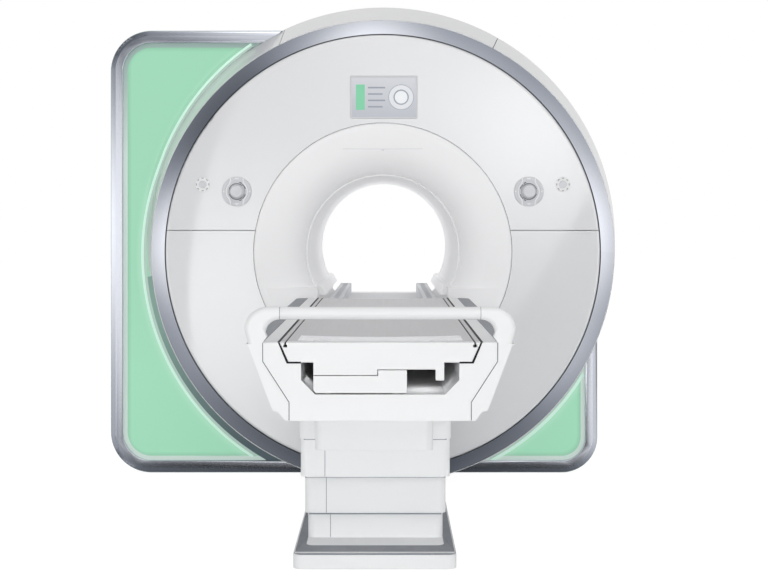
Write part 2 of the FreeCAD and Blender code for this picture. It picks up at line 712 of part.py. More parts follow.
def magnet_feet():
    """Two skids with saddles for the vessel, joined by three bars on the floor."""
    body = piece("magnet_feet")
    inner, outer = dim("foot_inner"), dim("foot_outer")
    saddle = VESSEL_RADIUS + GAP
    half, width = dim("foot_half_length"), dim("foot_bar_width")
    high, low = AXIS - leg(saddle, outer), AXIS - leg(saddle, inner)
    right = [(inner, 0), (outer, 0), (outer, high, -saddle), (inner, low)]
    left = [(-outer, 0), (-inner, 0), (-inner, low, -saddle), (-outer, high)]
    top = dim("foot_bar_height")
    extrude(body, "XZ", -width / 2, width / 2, [box(-outer, outer, 0, top)])
    extrude(body, "XZ", -half, half, [right])
    extrude(body, "XZ", -half, half, [left])
    for end in (-half, half - width):
        extrude(body, "XZ", end, end + width, [box(-outer, outer, 0, top)])


# ---------------------------------------------------------------- front of the gantry
def front_cover(label, upper):
    """Half of the round front cover, with a rim turned back and a lip for the bore cover."""
    body = piece(label, z=AXIS)
    rim, edge = COVER_RADIUS, dim("cover_edge")
    inner = dim("bore_cover_radius") + dim("seam")
    lip, depth = dim("lip_width"), dim("lip_depth")
    revolve(body, [
        (inner, FRONT), (rim - edge, FRONT, edge), (rim, FRONT + edge), (rim, CARRIER),
        (rim - WALL, CARRIER), (rim - WALL, COVER_BACK), (inner + WALL, COVER_BACK),
        (inner + WALL, FRONT + depth + WALL), (inner - lip, FRONT + depth + WALL),
        (inner - lip, FRONT + depth), (inner, FRONT + depth),
    ])
    seam = dim("seam_rise")
    far = rim + edge
    if upper:
        away = box(-far, far, -far, seam + dim("seam") / 2)
    else:
        away = box(-far, far, seam - dim("seam") / 2, far)
    extrude(body, "XZ", FRONT - edge, CARRIER + edge, [away], cut=True)
    return body


def upper_front_cover():
    body = front_cover("upper_front_cover", upper=True)
    seam = dim("seam") / 2
    width, height = dim("display_width") / 2 + seam, dim("display_height") / 2 + seam
    across, level = dim("display_across"), DISPLAY_LEVEL - AXIS
    window = round_box(
        across - width, across + width, level - height, level + height, dim("display_corner")
    )
    holes = [window]
    for side in (-1, 1):
        large = dim("control_radius") + dim("key_gap")
        small = dim("small_radius") + dim("key_gap")
        holes.append((side * CONTROL_ACROSS, CONTROL_LEVEL - AXIS, large))
        holes.append((side * SMALL_ACROSS, SMALL_LEVEL - AXIS, small))
    extrude(body, "XZ", FRONT - WALL, COVER_BACK + WALL, holes, cut=True)


def bore_cover(label, turned):
    """Funnel round the bore's mouth, with shelves and an opening for the tabletop."""
    body = piece(label, z=AXIS, turned=turned)
    rim, wall = dim("bore_cover_radius"), WALL
    lip = dim("lip_width") + dim("seam")
    edge = dim("seam")
    mouth = LINER_RADIUS + dim("seat_gap")
    flare, rise = dim("flare_radius"), dim("flare_rise")
    out = dim("bore_radius") + dim("flare_width")
    back = FRONT + dim("lip_depth")
    revolve(body, [
        (mouth, -LINER_END, flare), (out, FRONT + rise, dim("dome_radius")),
        (rim - edge, FRONT), (rim, FRONT + edge), (rim, back), (rim - lip, back),
        (out + wall, FRONT + rise + wall, wall - flare), (mouth + wall, -LINER_END),
    ])
    shelf, floor = above("shelf_rise") - AXIS, below("slot_floor_drop") - AXIS
    reach, slot = dim("shelf_radius"), SLOT
    infill = [
        (-leg(reach, shelf), shelf, reach), (0, -reach, reach), (leg(reach, shelf), shelf),
        (slot, shelf), (slot, floor), (-slot, floor), (-slot, shelf),
    ]
    extrude(body, "XZ", FRONT, -LINER_END - wall, [infill])
    opening = box(-slot, slot, floor, shelf)
    extrude(body, "XZ", FRONT - wall, -LINER_END + wall, [opening], cut=True)


def trim_ring():
    """Silver ring round the front covers, its rounded face sweeping back."""
    body = piece("trim_ring", z=AXIS)
    face = FRONT + dim("ring_setback")
    revolve(body, [
        (RING_INSIDE, face, dim("ring_bulge")), (RING_OUTSIDE, face + dim("ring_sweep")),
        (RING_OUTSIDE, CARRIER), (RING_INSIDE, CARRIER),
    ])


def body_shell(label, start, end):
    """Part of the shell that widens from the trim ring to the housing.

    It runs from one seam to the next; a seam is an angle and the X of the line it radiates from.
    """
    body = piece(label)
    wall = dim("shell_wall")
    front, back = (CARRIER, AXIS, SHELL_FRONT), (PANEL_WALL, SHELL_HEIGHT, SHELL_RADIUS)
    loft(body, front, back)
    loft(body, (front[0], front[1], front[2] - wall), (back[0], back[1], back[2] - wall), cut=True)
    extrude(body, "XZ", CARRIER, CARRIER + dim("carrier_wall"), [
        (0, AXIS, SHELL_FRONT - wall / 2), (0, AXIS, CARRIER_RADIUS),
    ])
    half_seam = dim("seam") / 2 / SHELL_RADIUS * (180 / math.pi)
    (first, first_x), (last, last_x) = start, end
    first, last = first + half_seam, last - half_seam
    turn = first + 360 - last
    away = [(last_x, AXIS)]
    for step in range(5):
        x, z = polar(SHELL_RADIUS * 2, last + turn * (step / 4))
        away.append((x + last_x + (first_x - last_x) * (step / 4), AXIS + z))
    if first_x is not last_x:
        away.append((first_x, AXIS))
    margin = dim("carrier_wall")
    extrude(body, "XZ", CARRIER - margin, PANEL_WALL + margin, [away], cut=True)


# ---------------------------------------------------------------- housing behind the ring
def housing_outline(inset):
    """The housing seen from the front: square at the left and foot, round above right."""
    inset = as_size(inset)
    left, right = inset - HOUSING_LEFT, HOUSING_RIGHT - inset
    bottom, top = inset, HOUSING_TOP - inset
    left_round = dim("housing_corner_left") - inset
    right_round = dim("housing_corner_right") - inset
    curve = SHELL_RADIUS - inset
    return [
        (left + left_round, bottom), (right - right_round, bottom, right_round),
        (right, bottom + right_round), (right, SHELL_HEIGHT - leg(curve, right), curve),
        (-leg(curve, top - SHELL_HEIGHT), top), (left + left_round, top, left_round),
        (left, top - left_round), (left, bottom + left_round, left_round),
    ]


def back_housing():
    """Wall round the magnet, with a front wall that carries the shells and panels."""
    body = piece("back_housing")
    wall, rear = dim("housing_wall"), dim("housing_rear")
    extrude(body, "XZ", PANEL_WALL, rear, [housing_outline(0)])
    extrude(body, "XZ", PANEL_WALL + wall, rear, [housing_outline(wall)], cut=True)
    window = (0, SHELL_HEIGHT, SHELL_RADIUS - dim("housing_rim"))
    extrude(body, "XZ", PANEL_WALL, PANEL_WALL + wall, [window], cut=True)
    notch, half = dim("foot_outer") + dim("floor_gap"), dim("foot_half_length") + wall
    extrude(body, "XY", 0, wall, [box(-notch, notch, -half, half)], cut=True)


def rear_cover():
    """Flat rear cover with a round opening and a lip for the rear bore cover."""
    body = piece("rear_cover")
    wall, start, end = dim("housing_wall"), dim("housing_rear"), dim("half_length")
    inner = dim("bore_cover_radius") + dim("seam")
    lip_back = end - dim("lip_depth")
    extrude(body, "XZ", start, end, [housing_outline(0)])
    round_edges(body, in_plane_y(end), dim("rear_edge"))
    extrude(body, "XZ", start, end - wall, [housing_outline(wall)], cut=True)
    extrude(body, "XZ", lip_back - WALL, end - wall, [(0, AXIS, inner + WALL)])
    extrude(body, "XZ", lip_back, end, [(0, AXIS, inner)], cut=True)
    extrude(body, "XZ", lip_back - WALL, lip_back, [(0, AXIS, inner - dim("lip_width"))], cut=True)


def side_frame(label, outline, ends):
    """Silver frame: a rounded band with a flat step along its inner side, ending at the shell."""
    body = piece(label)
    band, step = dim("frame_band"), dim("frame_step")
    face = PANEL_FRONT - dim("frame_rise")
    extrude(body, "XZ", face, PANEL_WALL, [outline(0, band)])

    def on_side(edge, inset):
        """An edge of the band's face that follows the outline at an inset."""
        if not in_plane_y(face)(edge):
            return False
        middle = edge.valueAt((edge.FirstParameter + edge.LastParameter) / 2)
        curve = getattr(edge, "Curve", None)
        along_shell = getattr(curve, "Radius", 0) > FRAME_CURVE.value - 1
        at_end = any(abs(middle.x - end.value) < THIN for end in ends)
        if along_shell or at_end:
            return False
        left, right = -HOUSING_LEFT.value, HOUSING_RIGHT.value
        top = HOUSING_TOP.value
        sides = (middle.x - left, right - middle.x, middle.z, top - middle.z)
        near = min(sides)
        corner = getattr(curve, "Radius", None)
        if corner is not None:
            full = (dim("housing_corner_left") if middle.x < 0 else dim("housing_corner_right")).value
            return abs(corner - (full - inset)) < THIN
        return abs(near - inset) < THIN

    round_edges(body, lambda edge: on_side(edge, 0), dim("frame_outer_round"))
    face_edge = dim("frame_inner_round")
    round_edges(body, lambda edge: on_side(edge, band.value), face_edge)
    extrude(body, "XZ", PANEL_FRONT, PANEL_WALL, [outline(0, band + step)])
    back = (PANEL_WALL, SHELL_HEIGHT, SHELL_RADIUS + GAP)
    loft(body, (CARRIER, AXIS, SHELL_FRONT + GAP), back, cut=True)


def left_frame_outline(from_inset, to_inset):
    """Band between two insets, from the shell's top round the left side to the foot."""
    curve = FRAME_CURVE
    left, top, corner = HOUSING_LEFT, HOUSING_TOP, dim("housing_corner_left")
    end = dim("frame_end")

    def height(inset):
        return top - inset - SHELL_HEIGHT

    outer, inner = as_size(from_inset), as_size(to_inset)
    foot = SHELL_HEIGHT - inner
    return [
        (-leg(curve, height(outer)), top - outer), (-left + corner, top - outer, corner - outer),
        (-left + outer, top - corner), (-left + outer, corner, corner - outer),
        (-left + corner, outer), (-end, outer),
        (-end, SHELL_HEIGHT - leg(curve, end), -curve), (-leg(curve, foot), inner),
        (-left + corner, inner, inner - corner), (-left + inner, corner),
        (-left + inner, top - corner, inner - corner), (-left + corner, top - inner),
        (-leg(curve, height(inner)), top - inner, -curve),
    ]


def right_frame_outline(from_inset, to_inset):
    """Band between two insets, from the foot round the right corner to the shell."""
    curve = FRAME_CURVE
    right, corner, end = HOUSING_RIGHT, dim("housing_corner_right"), dim("frame_end")
    outer, inner = as_size(from_inset), as_size(to_inset)
    foot = SHELL_HEIGHT - inner
    return [
        (end, outer), (right - corner, outer, corner - outer), (right - outer, corner),
        (right - outer, SHELL_HEIGHT - leg(curve, right - outer), -curve),
        (right - inner, SHELL_HEIGHT - leg(curve, right - inner)),
        (right - inner, corner, inner - corner), (right - corner, inner),
        (leg(curve, foot), inner, -curve), (end, SHELL_HEIGHT - leg(curve, end)),
    ]


def side_panel(label, corners):
    """Coloured panel with a bevel along its round cut-out."""
    body = piece(label)
    bevel, curve = dim("panel_bevel"), SHELL_RADIUS + dim("panel_gap")
    extrude(body, "XZ", PANEL_FRONT, PANEL_WALL, [corners(curve)])
    wide = (PANEL_FRONT, SHELL_HEIGHT, curve + bevel)
    loft(body, wide, (PANEL_FRONT + bevel, SHELL_HEIGHT, curve), cut=True)


def left_panel_corners(curve):
    inset = dim("frame_band") + dim("frame_step")
    left, top, corner = HOUSING_LEFT, HOUSING_TOP, dim("housing_corner_left")
    high, low = top - inset - SHELL_HEIGHT, SHELL_HEIGHT - inset
    return [
        (-leg(curve, high), top - inset), (-left + corner, top - inset, corner - inset),
        (-left + inset, top - corner), (-left + inset, corner, corner - inset),
        (-left + corner, inset), (-leg(curve, low), inset, -curve),
    ]


def right_panel_corners(curve):
    inset = dim("frame_band") + dim("frame_step")
    right, corner = HOUSING_RIGHT, dim("housing_corner_right")
    low, side = SHELL_HEIGHT - inset, right - inset
    return [
        (leg(curve, low), inset), (right - corner, inset, corner - inset),
        (side, corner), (side, SHELL_HEIGHT - leg(curve, side), -curve),
    ]


# ---------------------------------------------------------------- display and controls
def display():
    """Bezel clipped into the upper cover, and the glass that lies in it."""
    across, level = dim("display_across"), DISPLAY_LEVEL
    width, height = dim("display_width") / 2, dim("display_height") / 2
    face, rim, corner = FRONT - dim("display_proud"), dim("display_rim"), dim("display_corner")
    clip, glass = dim("clip_rim"), dim("glass_thickness")

    def panel(inset, radius):
        return round_box(-width + inset, width - inset, -height + inset, height - inset, radius)

    bezel = piece("display_bezel", x=across, z=level)
    extrude(bezel, "XZ", face, COVER_BACK + clip, [panel(0, corner)])
    extrude(bezel, "XZ", COVER_BACK, COVER_BACK + clip, [panel(-clip, corner)])
    extrude(bezel, "XZ", face, face + glass, [panel(rim, corner / 2)], cut=True)
    pane = piece("display_glass", x=across, z=level)
    extrude(pane, "XZ", face + dim("glass_setback"), face + glass, [panel(rim + GAP, corner / 2)])


def end_key(sign, inset):
    """Outline of the upper or lower key."""
    outer, inner = dim("key_outer") - inset, dim("end_key_inner") + inset
    half = dim("end_key_half") - inset
    low, high = sign * leg(inner, half), sign * leg(outer, half)
    return [
        (-half, low, -sign * inner), (half, low),
        (half, high, sign * outer), (-half, high),
    ]


def side_key(side, inset):
    """Outline of the left or right key."""
    outer, inner = dim("key_outer") - inset, dim("side_key_inner") + inset
    start = dim("side_key_from") + inset
    low, high = leg(inner, start), leg(outer, start)
    return [
        (side * start, -high, side * outer), (side * start, high),
        (side * start, low, -side * inner), (side * start, -low),
    ]


def rib(side):
    """Raised line between the dial and a side key."""
    inner, outer, end = dim("rib_inner"), dim("rib_outer"), dim("side_key_from")
    low, high = leg(inner, end), leg(outer, end)
    return [
        (side * end, -high, side * outer), (side * end, high),
        (side * end, low, -side * inner), (side * end, -low),
    ]


def control(name, side):
    """Large control: clipped ring, turning dial and four keys round it."""
    place = {"x": side * CONTROL_ACROSS, "z": CONTROL_LEVEL}
    face = FRONT - dim("control_proud")
    back = face + dim("control_depth")
    well = dim("key_thickness") - dim("key_proud") + dim("key_room")
    dial_well = dim("dial_well_depth")
    shaft = dim("dial_shaft_radius")
    radius = dim("control_radius")
    wells = [end_key(1, 0), end_key(-1, 0), side_key(-1, 0), side_key(1, 0)]

    ring = piece(f"{name}_control_ring", **place)
    extrude(ring, "XZ", face, back, [(0, 0, radius)])
    extrude(ring, "XZ", COVER_BACK, back, [(0, 0, radius + dim("clip_rim"))])
    extrude(ring, "XZ", face, face + well, wells, cut=True)
    dial_room = dim("dial_base_radius") + dim("dial_well_gap")
    extrude(ring, "XZ", face, face + dial_well, [(0, 0, dial_room)], cut=True)
    extrude(ring, "XZ", face, back, [(0, 0, shaft + dim("running_fit"))], cut=True)
    extrude(ring, "XZ", face - dim("rib_height"), face + dim("rib_height"), [rib(-1), rib(1)])

    dial = piece(f"{name}_control_dial", **place)
    base, top, edge = dim("dial_base_radius"), dim("dial_face_radius"), dim("dial_edge")
    crown = face - dim("dial_height")
    foot = face + dial_well - dim("key_gap")
    end = back + dim("dial_shaft_end")
    revolve(dial, [
        (0, crown + edge), (top - edge - dim("dial_rim"), crown), (top - edge, crown, edge),
        (top, crown + edge), (base, face - edge), (base, foot), (shaft, foot), (shaft, end), (0, end),
    ])

    inset = dim("key_gap")
    outlines = {
        "upper": end_key(1, inset),
        "lower": end_key(-1, inset),
        "left": side_key(-1, inset),
        "right": side_key(1, inset),
    }
    for key_name, outline in outlines.items():
        key = piece(f"{name}_control_{key_name}_key", **place)
        front = face - dim("key_proud")
        extrude(key, "XZ", front, front + dim("key_thickness"), [outline])


def small_control(name, side):
    """Small control: clipped ring with eight marks, and a push button."""
    place = {"x": side * SMALL_ACROSS, "z": SMALL_LEVEL}
    face = FRONT - dim("control_proud")
    back = face + dim("control_depth")
    well = dim("key_thickness") - dim("key_proud") + dim("key_room")
    button = dim("small_button_radius")
    ring = piece(f"{name}_small_ring", **place)
    extrude(ring, "XZ", face, back, [(0, 0, dim("small_radius"))])
    extrude(ring, "XZ", COVER_BACK, back, [(0, 0, dim("small_radius") + dim("clip_rim"))])
    extrude(ring, "XZ", face, face + well, [(0, 0, button + dim("key_gap"))], cut=True)
    radius, length, width = dim("small_mark_radius"), dim("small_mark_length"), dim("small_mark_width")
    mark = extrude(ring, "XZ", face, face + dim("small_mark_depth"), [box(
        -length / 2, length / 2, radius - width / 2, radius + width / 2,
    )], cut=True)
    repeat(ring, mark, "N_Axis", 8)
    knob = piece(f"{name}_small_button", **place)
    front = face - dim("key_proud")
    extrude(knob, "XZ", front, front + dim("key_thickness"), [(0, 0, button)])
    round_edges(knob, in_plane_y(front), dim("key_proud"))


# ---------------------------------------------------------------- patient table
FOOT = -dim("foot_end")
FAR = FRONT - dim("dock_gap")


def mirrored(half):
    """A whole outline from its right half, given from the bottom to the top."""
    return half + [(-as_size(x), z) for x, z in reversed(half)]


def table_frame():
    """Deep U-shaped beam with a ledge along each inner side and pads at its docked end."""
    body = piece("table_frame")
    extrude(body, "XZ", FOOT, FAR, [mirrored([
        (FRAME_BOTTOM, below("frame_bottom_drop")), (FRAME_BOTTOM, below("frame_bend_drop")),
        (FRAME, below("frame_waist_drop")), (FRAME, TABLE_TOP), (FRAME_MOUTH, TABLE_TOP),
        (LEDGE_OUTER, below("frame_ledge_drop")), (LEDGE_INNER, below("frame_ledge_drop")),
        (LEDGE_INNER, below("frame_well_drop")), (FRAME_FLOOR, below("frame_floor_drop")),
    ])])
    under = below("rail_top_drop") + dim("board_gap") - GAP
    root = below("frame_ledge_drop") - dim("pad_root")
    for side in (-1, 1):
        pad = box(side * RAIL_INNER, side * RAIL_OUTER, root, under)
        extrude(body, "XZ", FAR - dim("pad_length"), FAR, [pad])


def groove(side):
    """T-shaped accessory groove, cut from the table's upper surface."""
    middle, top = side * GROOVE, TABLE_TOP + dim("groove_lip")
    neck, head = dim("groove_neck") / 2, dim("groove_head") / 2
    lip, floor = TABLE_TOP - dim("groove_lip"), TABLE_TOP - dim("groove_depth")
    return [
        (middle - neck, top), (middle - neck, lip), (middle - head, lip), (middle - head, floor),
        (middle + head, floor), (middle + head, lip), (middle + neck, lip), (middle + neck, top),
    ]


def foot_recess(body, near):
    """Shallow recess at the tabletop's foot, with a plate and two round coil sockets in it."""
    half, floor = BOARD - dim("recess_inset"), below("recess_depth")
    far = near + dim("recess_length")
    middle = (near + far) / 2
    rise = floor + dim("plate_rise")
    extrude(body, "XY", floor, TABLE_TOP, [box(-half, half, near, far)], cut=True)
    plate, length = dim("plate_half"), dim("plate_length") / 2
    extrude(body, "XY", floor, rise, [box(-plate, plate, middle - length, middle + length)])
    across, radius, bore = dim("socket_across"), dim("socket_radius"), dim("socket_bore")
    for side in (-1, 1):
        extrude(body, "XY", floor, rise, [(side * across, middle, radius)])
        extrude(body, "XY", floor, rise, [(side * across, middle, bore)], cut=True)


def tabletop_board():
    """Moving tabletop: a hollow upper face, grooves for the rails below, runners at its foot."""
    body = piece("tabletop_board")
    start = FOOT + dim("cap_thickness")
    side_gap = dim("board_side_gap")
    inner, outer = RAIL_INNER - side_gap, RAIL_OUTER + side_gap
    rail_room = below("rail_top_drop") + dim("board_gap")
    edge = BOARD - dim("board_edge_slope")
    right = [
        (inner, below("board_keel_drop")), (inner, rail_room), (outer, rail_room),
        (outer, below("board_under_drop")), (edge, below("board_under_drop")), (BOARD, TABLE_TOP),
        (GROOVE - dim("groove_neck"), TABLE_TOP),
    ]
    outline = mirrored(right)
    corner = outline[len(right) - 1]
    outline[len(right) - 1] = (corner[0], corner[1], -dim("board_hollow"))
    extrude(body, "XZ", start, FAR, [outline])
    extrude(body, "XZ", start, FAR, [groove(-1), groove(1)], cut=True)
    foot_recess(body, start + dim("recess_start"))
    low = below("frame_ledge_drop") + GAP
    near = LEDGE_INNER + dim("runner_gap")
    far = near + dim("runner_width")
    for side in (-1, 1):
        runner = box(side * near, side * far, low, rail_room + GAP)
        extrude(body, "XZ", start, start + dim("runner_length"), [runner])


def end_cap():
    """Cap at the tabletop's foot, with a stepped box and a bracket below."""
    body = piece("end_cap")
    top, wing = TABLE_TOP, below("cap_wing_drop")
    lower, step = BOARD - dim("cap_slope"), -dim("cap_step")
    deep, shallow = below("cap_box_deep_drop"), below("cap_box_shallow_drop")
    outer, low = CAP_BOX - dim("bracket_inset"), below("cap_bracket_bottom_drop")
    inner = outer - dim("bracket_width")
    extrude(body, "XZ", FOOT, FOOT + dim("cap_thickness"), [[
        (BOARD, top), (-BOARD, top), (-lower, wing), (-CAP_BOX, wing), (-CAP_BOX, deep),
        (step, deep), (step, shallow), (inner, shallow), (inner, low), (outer, low), (outer, wing),
        (lower, wing),
    ]])
    extrude(body, "XZ", FOOT, FOOT + dim("cap_thickness"), [groove(-1), groove(1)], cut=True)


def cable_box():
    """Stepped box on the frame's floor under the tabletop, standing on two runners."""
    body = piece("cable_box")
    gap, low = dim("cable_gap"), below("frame_floor_drop") + dim("cable_lift")
    left, right, step = -CAP_BOX, dim("cable_right"), gap - dim("cap_step")
    corner = FRAME_FLOOR - gap
    end = FOOT + dim("cable_length")
    extrude(body, "XZ", FOOT, end, [[
        (-corner, low), (right, low), (right, below("cap_box_shallow_drop") - gap),
        (step, below("cap_box_shallow_drop") - gap), (step, below("cap_box_deep_drop") - gap),
        (left, below("cap_box_deep_drop") - gap), (left, low - left - corner + gap),
    ]])
    inset = dim("cable_runner")
    for start in (-corner + inset, right - inset * 2):
        runner = box(start, start + inset, below("frame_floor_drop"), low)
        extrude(body, "XZ", FOOT + inset, end - inset, [runner])


def side_cover(label, side):
    """Long side cover whose foot end rises into an arm of the handle."""
    body = piece(label)
    thick = dim("handle_radius") * 2
    high, low = above("handle_rise") + dim("handle_radius"), above("handle_rise") - dim("handle_radius")
    root = below("side_top_drop") - dim("arm_sink")
    lip = SIDE_OUTER - dim("side_edge")
    outer, inner = FRAME + dim("arm_reach"), FRAME - dim("arm_inset")
    outer_elbow, inner_elbow = high - above("arm_outer_rise"), inner - HANDLE
    extrude(body, "XZ", FOOT, FOOT + thick, [[
        (side * FRAME, root), (side * lip, root),
        (side * outer, high - outer_elbow, side * outer_elbow), (side * (outer - outer_elbow), high),
        (side * HANDLE, high), (side * HANDLE, low, -side * inner_elbow),
        (side * inner, low - inner_elbow),
        (side * (FRAME - dim("arm_root_inset")), above("arm_root_rise")),
        (side * FRAME, below("side_top_drop") + dim("ledge_thickness")),
    ]])
    front, back = in_plane_y(FOOT), in_plane_y(FOOT + thick)
    foot = (low - inner_elbow).value

    def on_elbow(edge):
        """The elbow's long edges, apart from the flat end that meets the handle bar."""
        box_of = edge.BoundBox
        return (front(edge) or back(edge)) and box_of.ZMax > foot + THIN and box_of.XLength > THIN

    round_edges(body, on_elbow, dim("arm_round"))
    extrude(body, "XZ", FOOT, FAR, [[
        (side * FRAME_BOTTOM, below("frame_bottom_drop")),
        (side * (FRAME_BOTTOM + dim("side_foot_reach")), below("frame_bottom_drop")),
        (side * (FRAME_BOTTOM + dim("side_step_reach")), below("side_step_drop")),
        (side * (FRAME_BOTTOM + dim("side_low_reach")), below("side_low_drop")),
        (side * FRAME, below("side_mid_drop")), (side * lip, below("side_lip_drop")),
        (side * SIDE_OUTER, below("side_top_drop")), (side * FRAME, below("side_top_drop")),
        (side * FRAME, below("frame_waist_drop")), (side * FRAME_BOTTOM, below("frame_bend_drop")),
    ]])


def side_ledge(label, side):
    """Grey ledge on top of a side cover, with a rounded far corner."""
    body = piece(label)
    near, far = FOOT + dim("ledge_foot_gap"), FAR - dim("ledge_far_gap")
    inner, outer, curve = FRAME, SIDE_OUTER, dim("ledge_round")
    extrude(body, "XY", below("side_top_drop"), below("side_top_drop") + dim("ledge_thickness"), [[
        (side * inner, near), (side * outer, near), (side * outer, far - curve, side * curve),
        (side * (outer - curve), far), (side * inner, far),
    ]])


def handle_bar():
    body = piece("handle_bar", y=FOOT + dim("handle_radius"), z=above("handle_rise"))
    half = HANDLE - GAP
    extrude(body, "YZ", -half, half, [(0, 0, dim("handle_radius"))])


# ---------------------------------------------------------------- column and plinth
def shroud(label, inset, front_inset, bottom, top, band=None, filled=False):
    """Rectangular shroud of the column; a band at its top end guides it in the next."""
    body = piece(label, x=-dim("column_across"))
    wall = dim("shroud_wall")

    def outline(extra):
        extra = as_size(extra)
        half = dim("column_half") - inset - extra
        front = -dim("column_front") + front_inset + extra
        rear = -dim("column_rear") - inset - extra
        return round_box(-half, half, front, rear, dim("column_round"))

    extrude(body, "XY", bottom, top, [outline(0)])
    if band is not None:
        extrude(body, "XY", top - dim("guide_height"), top, [outline(-band)])
    if not filled:
        extrude(body, "XY", bottom, top, [outline(wall)], cut=True)


def column():
    """Four telescopic shrouds, the widest at the top, round a lifting cylinder."""
    wall, gap, overlap = dim("shroud_wall"), dim("shroud_gap"), dim("shroud_overlap")
    nested = wall + gap
    lower, foot = nested + dim("lower_inset"), nested + dim("lower_inset") + dim("foot_inset")
    lower_front = nested + dim("lower_front_inset")
    foot_front = lower_front + dim("foot_front_inset")
    shroud("column_upper", as_size(0), as_size(0), dim("upper_bottom"), below("frame_bottom_drop"))
    shroud("column_middle", nested, nested, dim("middle_bottom"), dim("upper_bottom") + overlap)
    shroud(
        "column_lower", lower, lower_front, dim("lower_bottom"), dim("middle_bottom") + overlap,
        band=dim("lower_inset") - wall - gap,
    )
    shroud(
        "column_foot", foot, foot_front, dim("boss_height"), dim("lower_bottom") + overlap,
        band=dim("foot_inset") - wall - gap,
    )


def lift():
    """Cylinder on the plinth, a sleeve that follows half way, and a rod under the frame."""
    place = {"x": -dim("column_across"), "y": -dim("lift_setback")}
    fit = dim("running_fit")
    outside = dim("tube_radius")
    tube_inside = outside - dim("tube_wall")
    sleeve_outside = tube_inside - fit
    sleeve_inside = sleeve_outside - dim("sleeve_wall")
    tube = piece("lift_cylinder", **place)
    extrude(tube, "XY", dim("boss_height"), dim("tube_top"), [(0, 0, outside), (0, 0, tube_inside)])
    sleeve = piece("lift_sleeve", **place)
    extrude(sleeve, "XY", dim("sleeve_bottom"), dim("sleeve_top"), [
        (0, 0, sleeve_outside), (0, 0, sleeve_inside),
    ])
    rod = piece("lift_rod", **place)
    extrude(rod, "XY", dim("rod_bottom"), below("frame_bottom_drop"), [(0, 0, sleeve_inside - fit)])


def drive_housing():
    """Box under the table frame, in front of the column."""
    body = piece("drive_housing", x=-dim("column_across"))
    half, front = dim("drive_half"), -dim("drive_front")
    rear = -dim("column_front") - GAP
    low, high = below("drive_bottom_drop"), below("frame_bottom_drop")
    extrude(body, "XY", low, high, [box(-half, half, front, rear)])

    def front_corner(edge):
        return upright(edge) and abs(edge.BoundBox.YMin - front.value) < THIN

    round_edges(body, front_corner, dim("drive_round"))


def table_plinth():
    """Low plinth on the floor, with a raised middle and a cable duct to the gantry."""
    body = piece("table_plinth", x=-dim("column_across"))
    half, low = dim("plinth_half"), dim("plinth_height")
    extrude(body, "XY", 0, low, [round_box(
        -half, half, -dim("plinth_front"), -dim("plinth_rear"), dim("plinth_round"),
    )])
    boss = boss_outline(as_size(0))
    extrude(body, "XY", low, dim("boss_height"), [boss])
    duct = dim("duct_half")
    extrude(body, "XY", low, dim("duct_height"), [box(-duct, duct, -dim("duct_front"), FRONT)])


def boss_outline(outset):
    wall, gap = dim("shroud_wall"), dim("shroud_gap")
    inset = wall + gap + dim("lower_inset") + dim("foot_inset")
    half = dim("column_half") - inset + outset
    front, rear = -dim("boss_front") - outset, -dim("column_rear") - inset + outset
    return round_box(-half, half, front, rear, dim("column_round"))


def plinth_tray():
    """Grey tray on the plinth, round its raised middle."""
    body = piece("plinth_tray", x=-dim("column_across"))
    low, inset = dim("plinth_height"), dim("tray_inset")
    half = dim("plinth_half") - inset
    edge = round_box(-half, half, -dim("plinth_front") + inset, -dim("tray_rear"), dim("plinth_round"))
    extrude(body, "XY", low, low + dim("tray_thickness"), [edge, boss_outline(GAP)])


# ---------------------------------------------------------------- the whole scanner
magnet_vessel()
coil("gradient_coil", GRADIENT_INSIDE, GRADIENT_OUTSIDE, dim("gradient_half"))
coil("body_coil", COIL_INSIDE, COIL_OUTSIDE, dim("body_coil_half"))
bore_liner()
bore_ledge("left_bore_ledge", -1)
bore_ledge("right_bore_ledge", 1)
bore_rail("left_bore_rail", -1)
bore_rail("right_bore_rail", 1)
magnet_feet()
upper_front_cover()
front_cover("lower_front_cover", upper=False)
bore_cover("bore_front_cover", turned=False)
trim_ring()
middle = as_size(0)
left_seam, right_seam = (as_size(90), -dim("seam_left")), (dim("seam_right_angle"), middle)
body_shell("top_shell", right_seam, left_seam)
body_shell("left_shell", left_seam, (as_size(270), middle))
body_shell("right_shell", (as_size(-90), middle), right_seam)
back_housing()
rear_cover()
bore_cover("rear_bore_cover", turned=True)
side_frame("left_frame", left_frame_outline, [-dim("frame_end")])
side_frame("right_frame", right_frame_outline, [dim("frame_end")])
side_panel("left_panel", left_panel_corners)
side_panel("right_panel", right_panel_corners)
display()
for name, side in (("left", -1), ("right", 1)):
    control(name, side)
    small_control(name, side)
table_frame()
tabletop_board()
end_cap()
cable_box()
side_cover("left_side_cover", -1)
side_cover("right_side_cover", 1)
side_ledge("left_side_ledge", -1)
side_ledge("right_side_ledge", 1)
handle_bar()
column()
lift()
drive_housing()
table_plinth()
plinth_tray()

doc.recompute()
for thing in doc.Objects:
    if "Invalid" in thing.State or "Error" in thing.State:
        raise RuntimeError(f"{thing.Label}: {thing.State}")
for body in PIECES:
    if body.Shape.isNull() or not body.Shape.isValid() or len(body.Shape.Solids) != 1:
        raise RuntimeError(f"{body.Label} is not one valid solid")

os.makedirs("parts", exist_ok=True)
for body in PIECES:
    body.Shape.exportStep(f"parts/{body.Label}.step")
    box_of = body.Shape.BoundBox
    print(
        f"{body.Label:28s} {body.Shape.Volume / 1e6:10.2f} l  "
        f"X {box_of.XMin:8.1f} {box_of.XMax:8.1f}  Y {box_of.YMin:8.1f} {box_of.YMax:8.1f}  "
        f"Z {box_of.ZMin:7.1f} {box_of.ZMax:7.1f}"
    )
print(len(PIECES), "pieces")
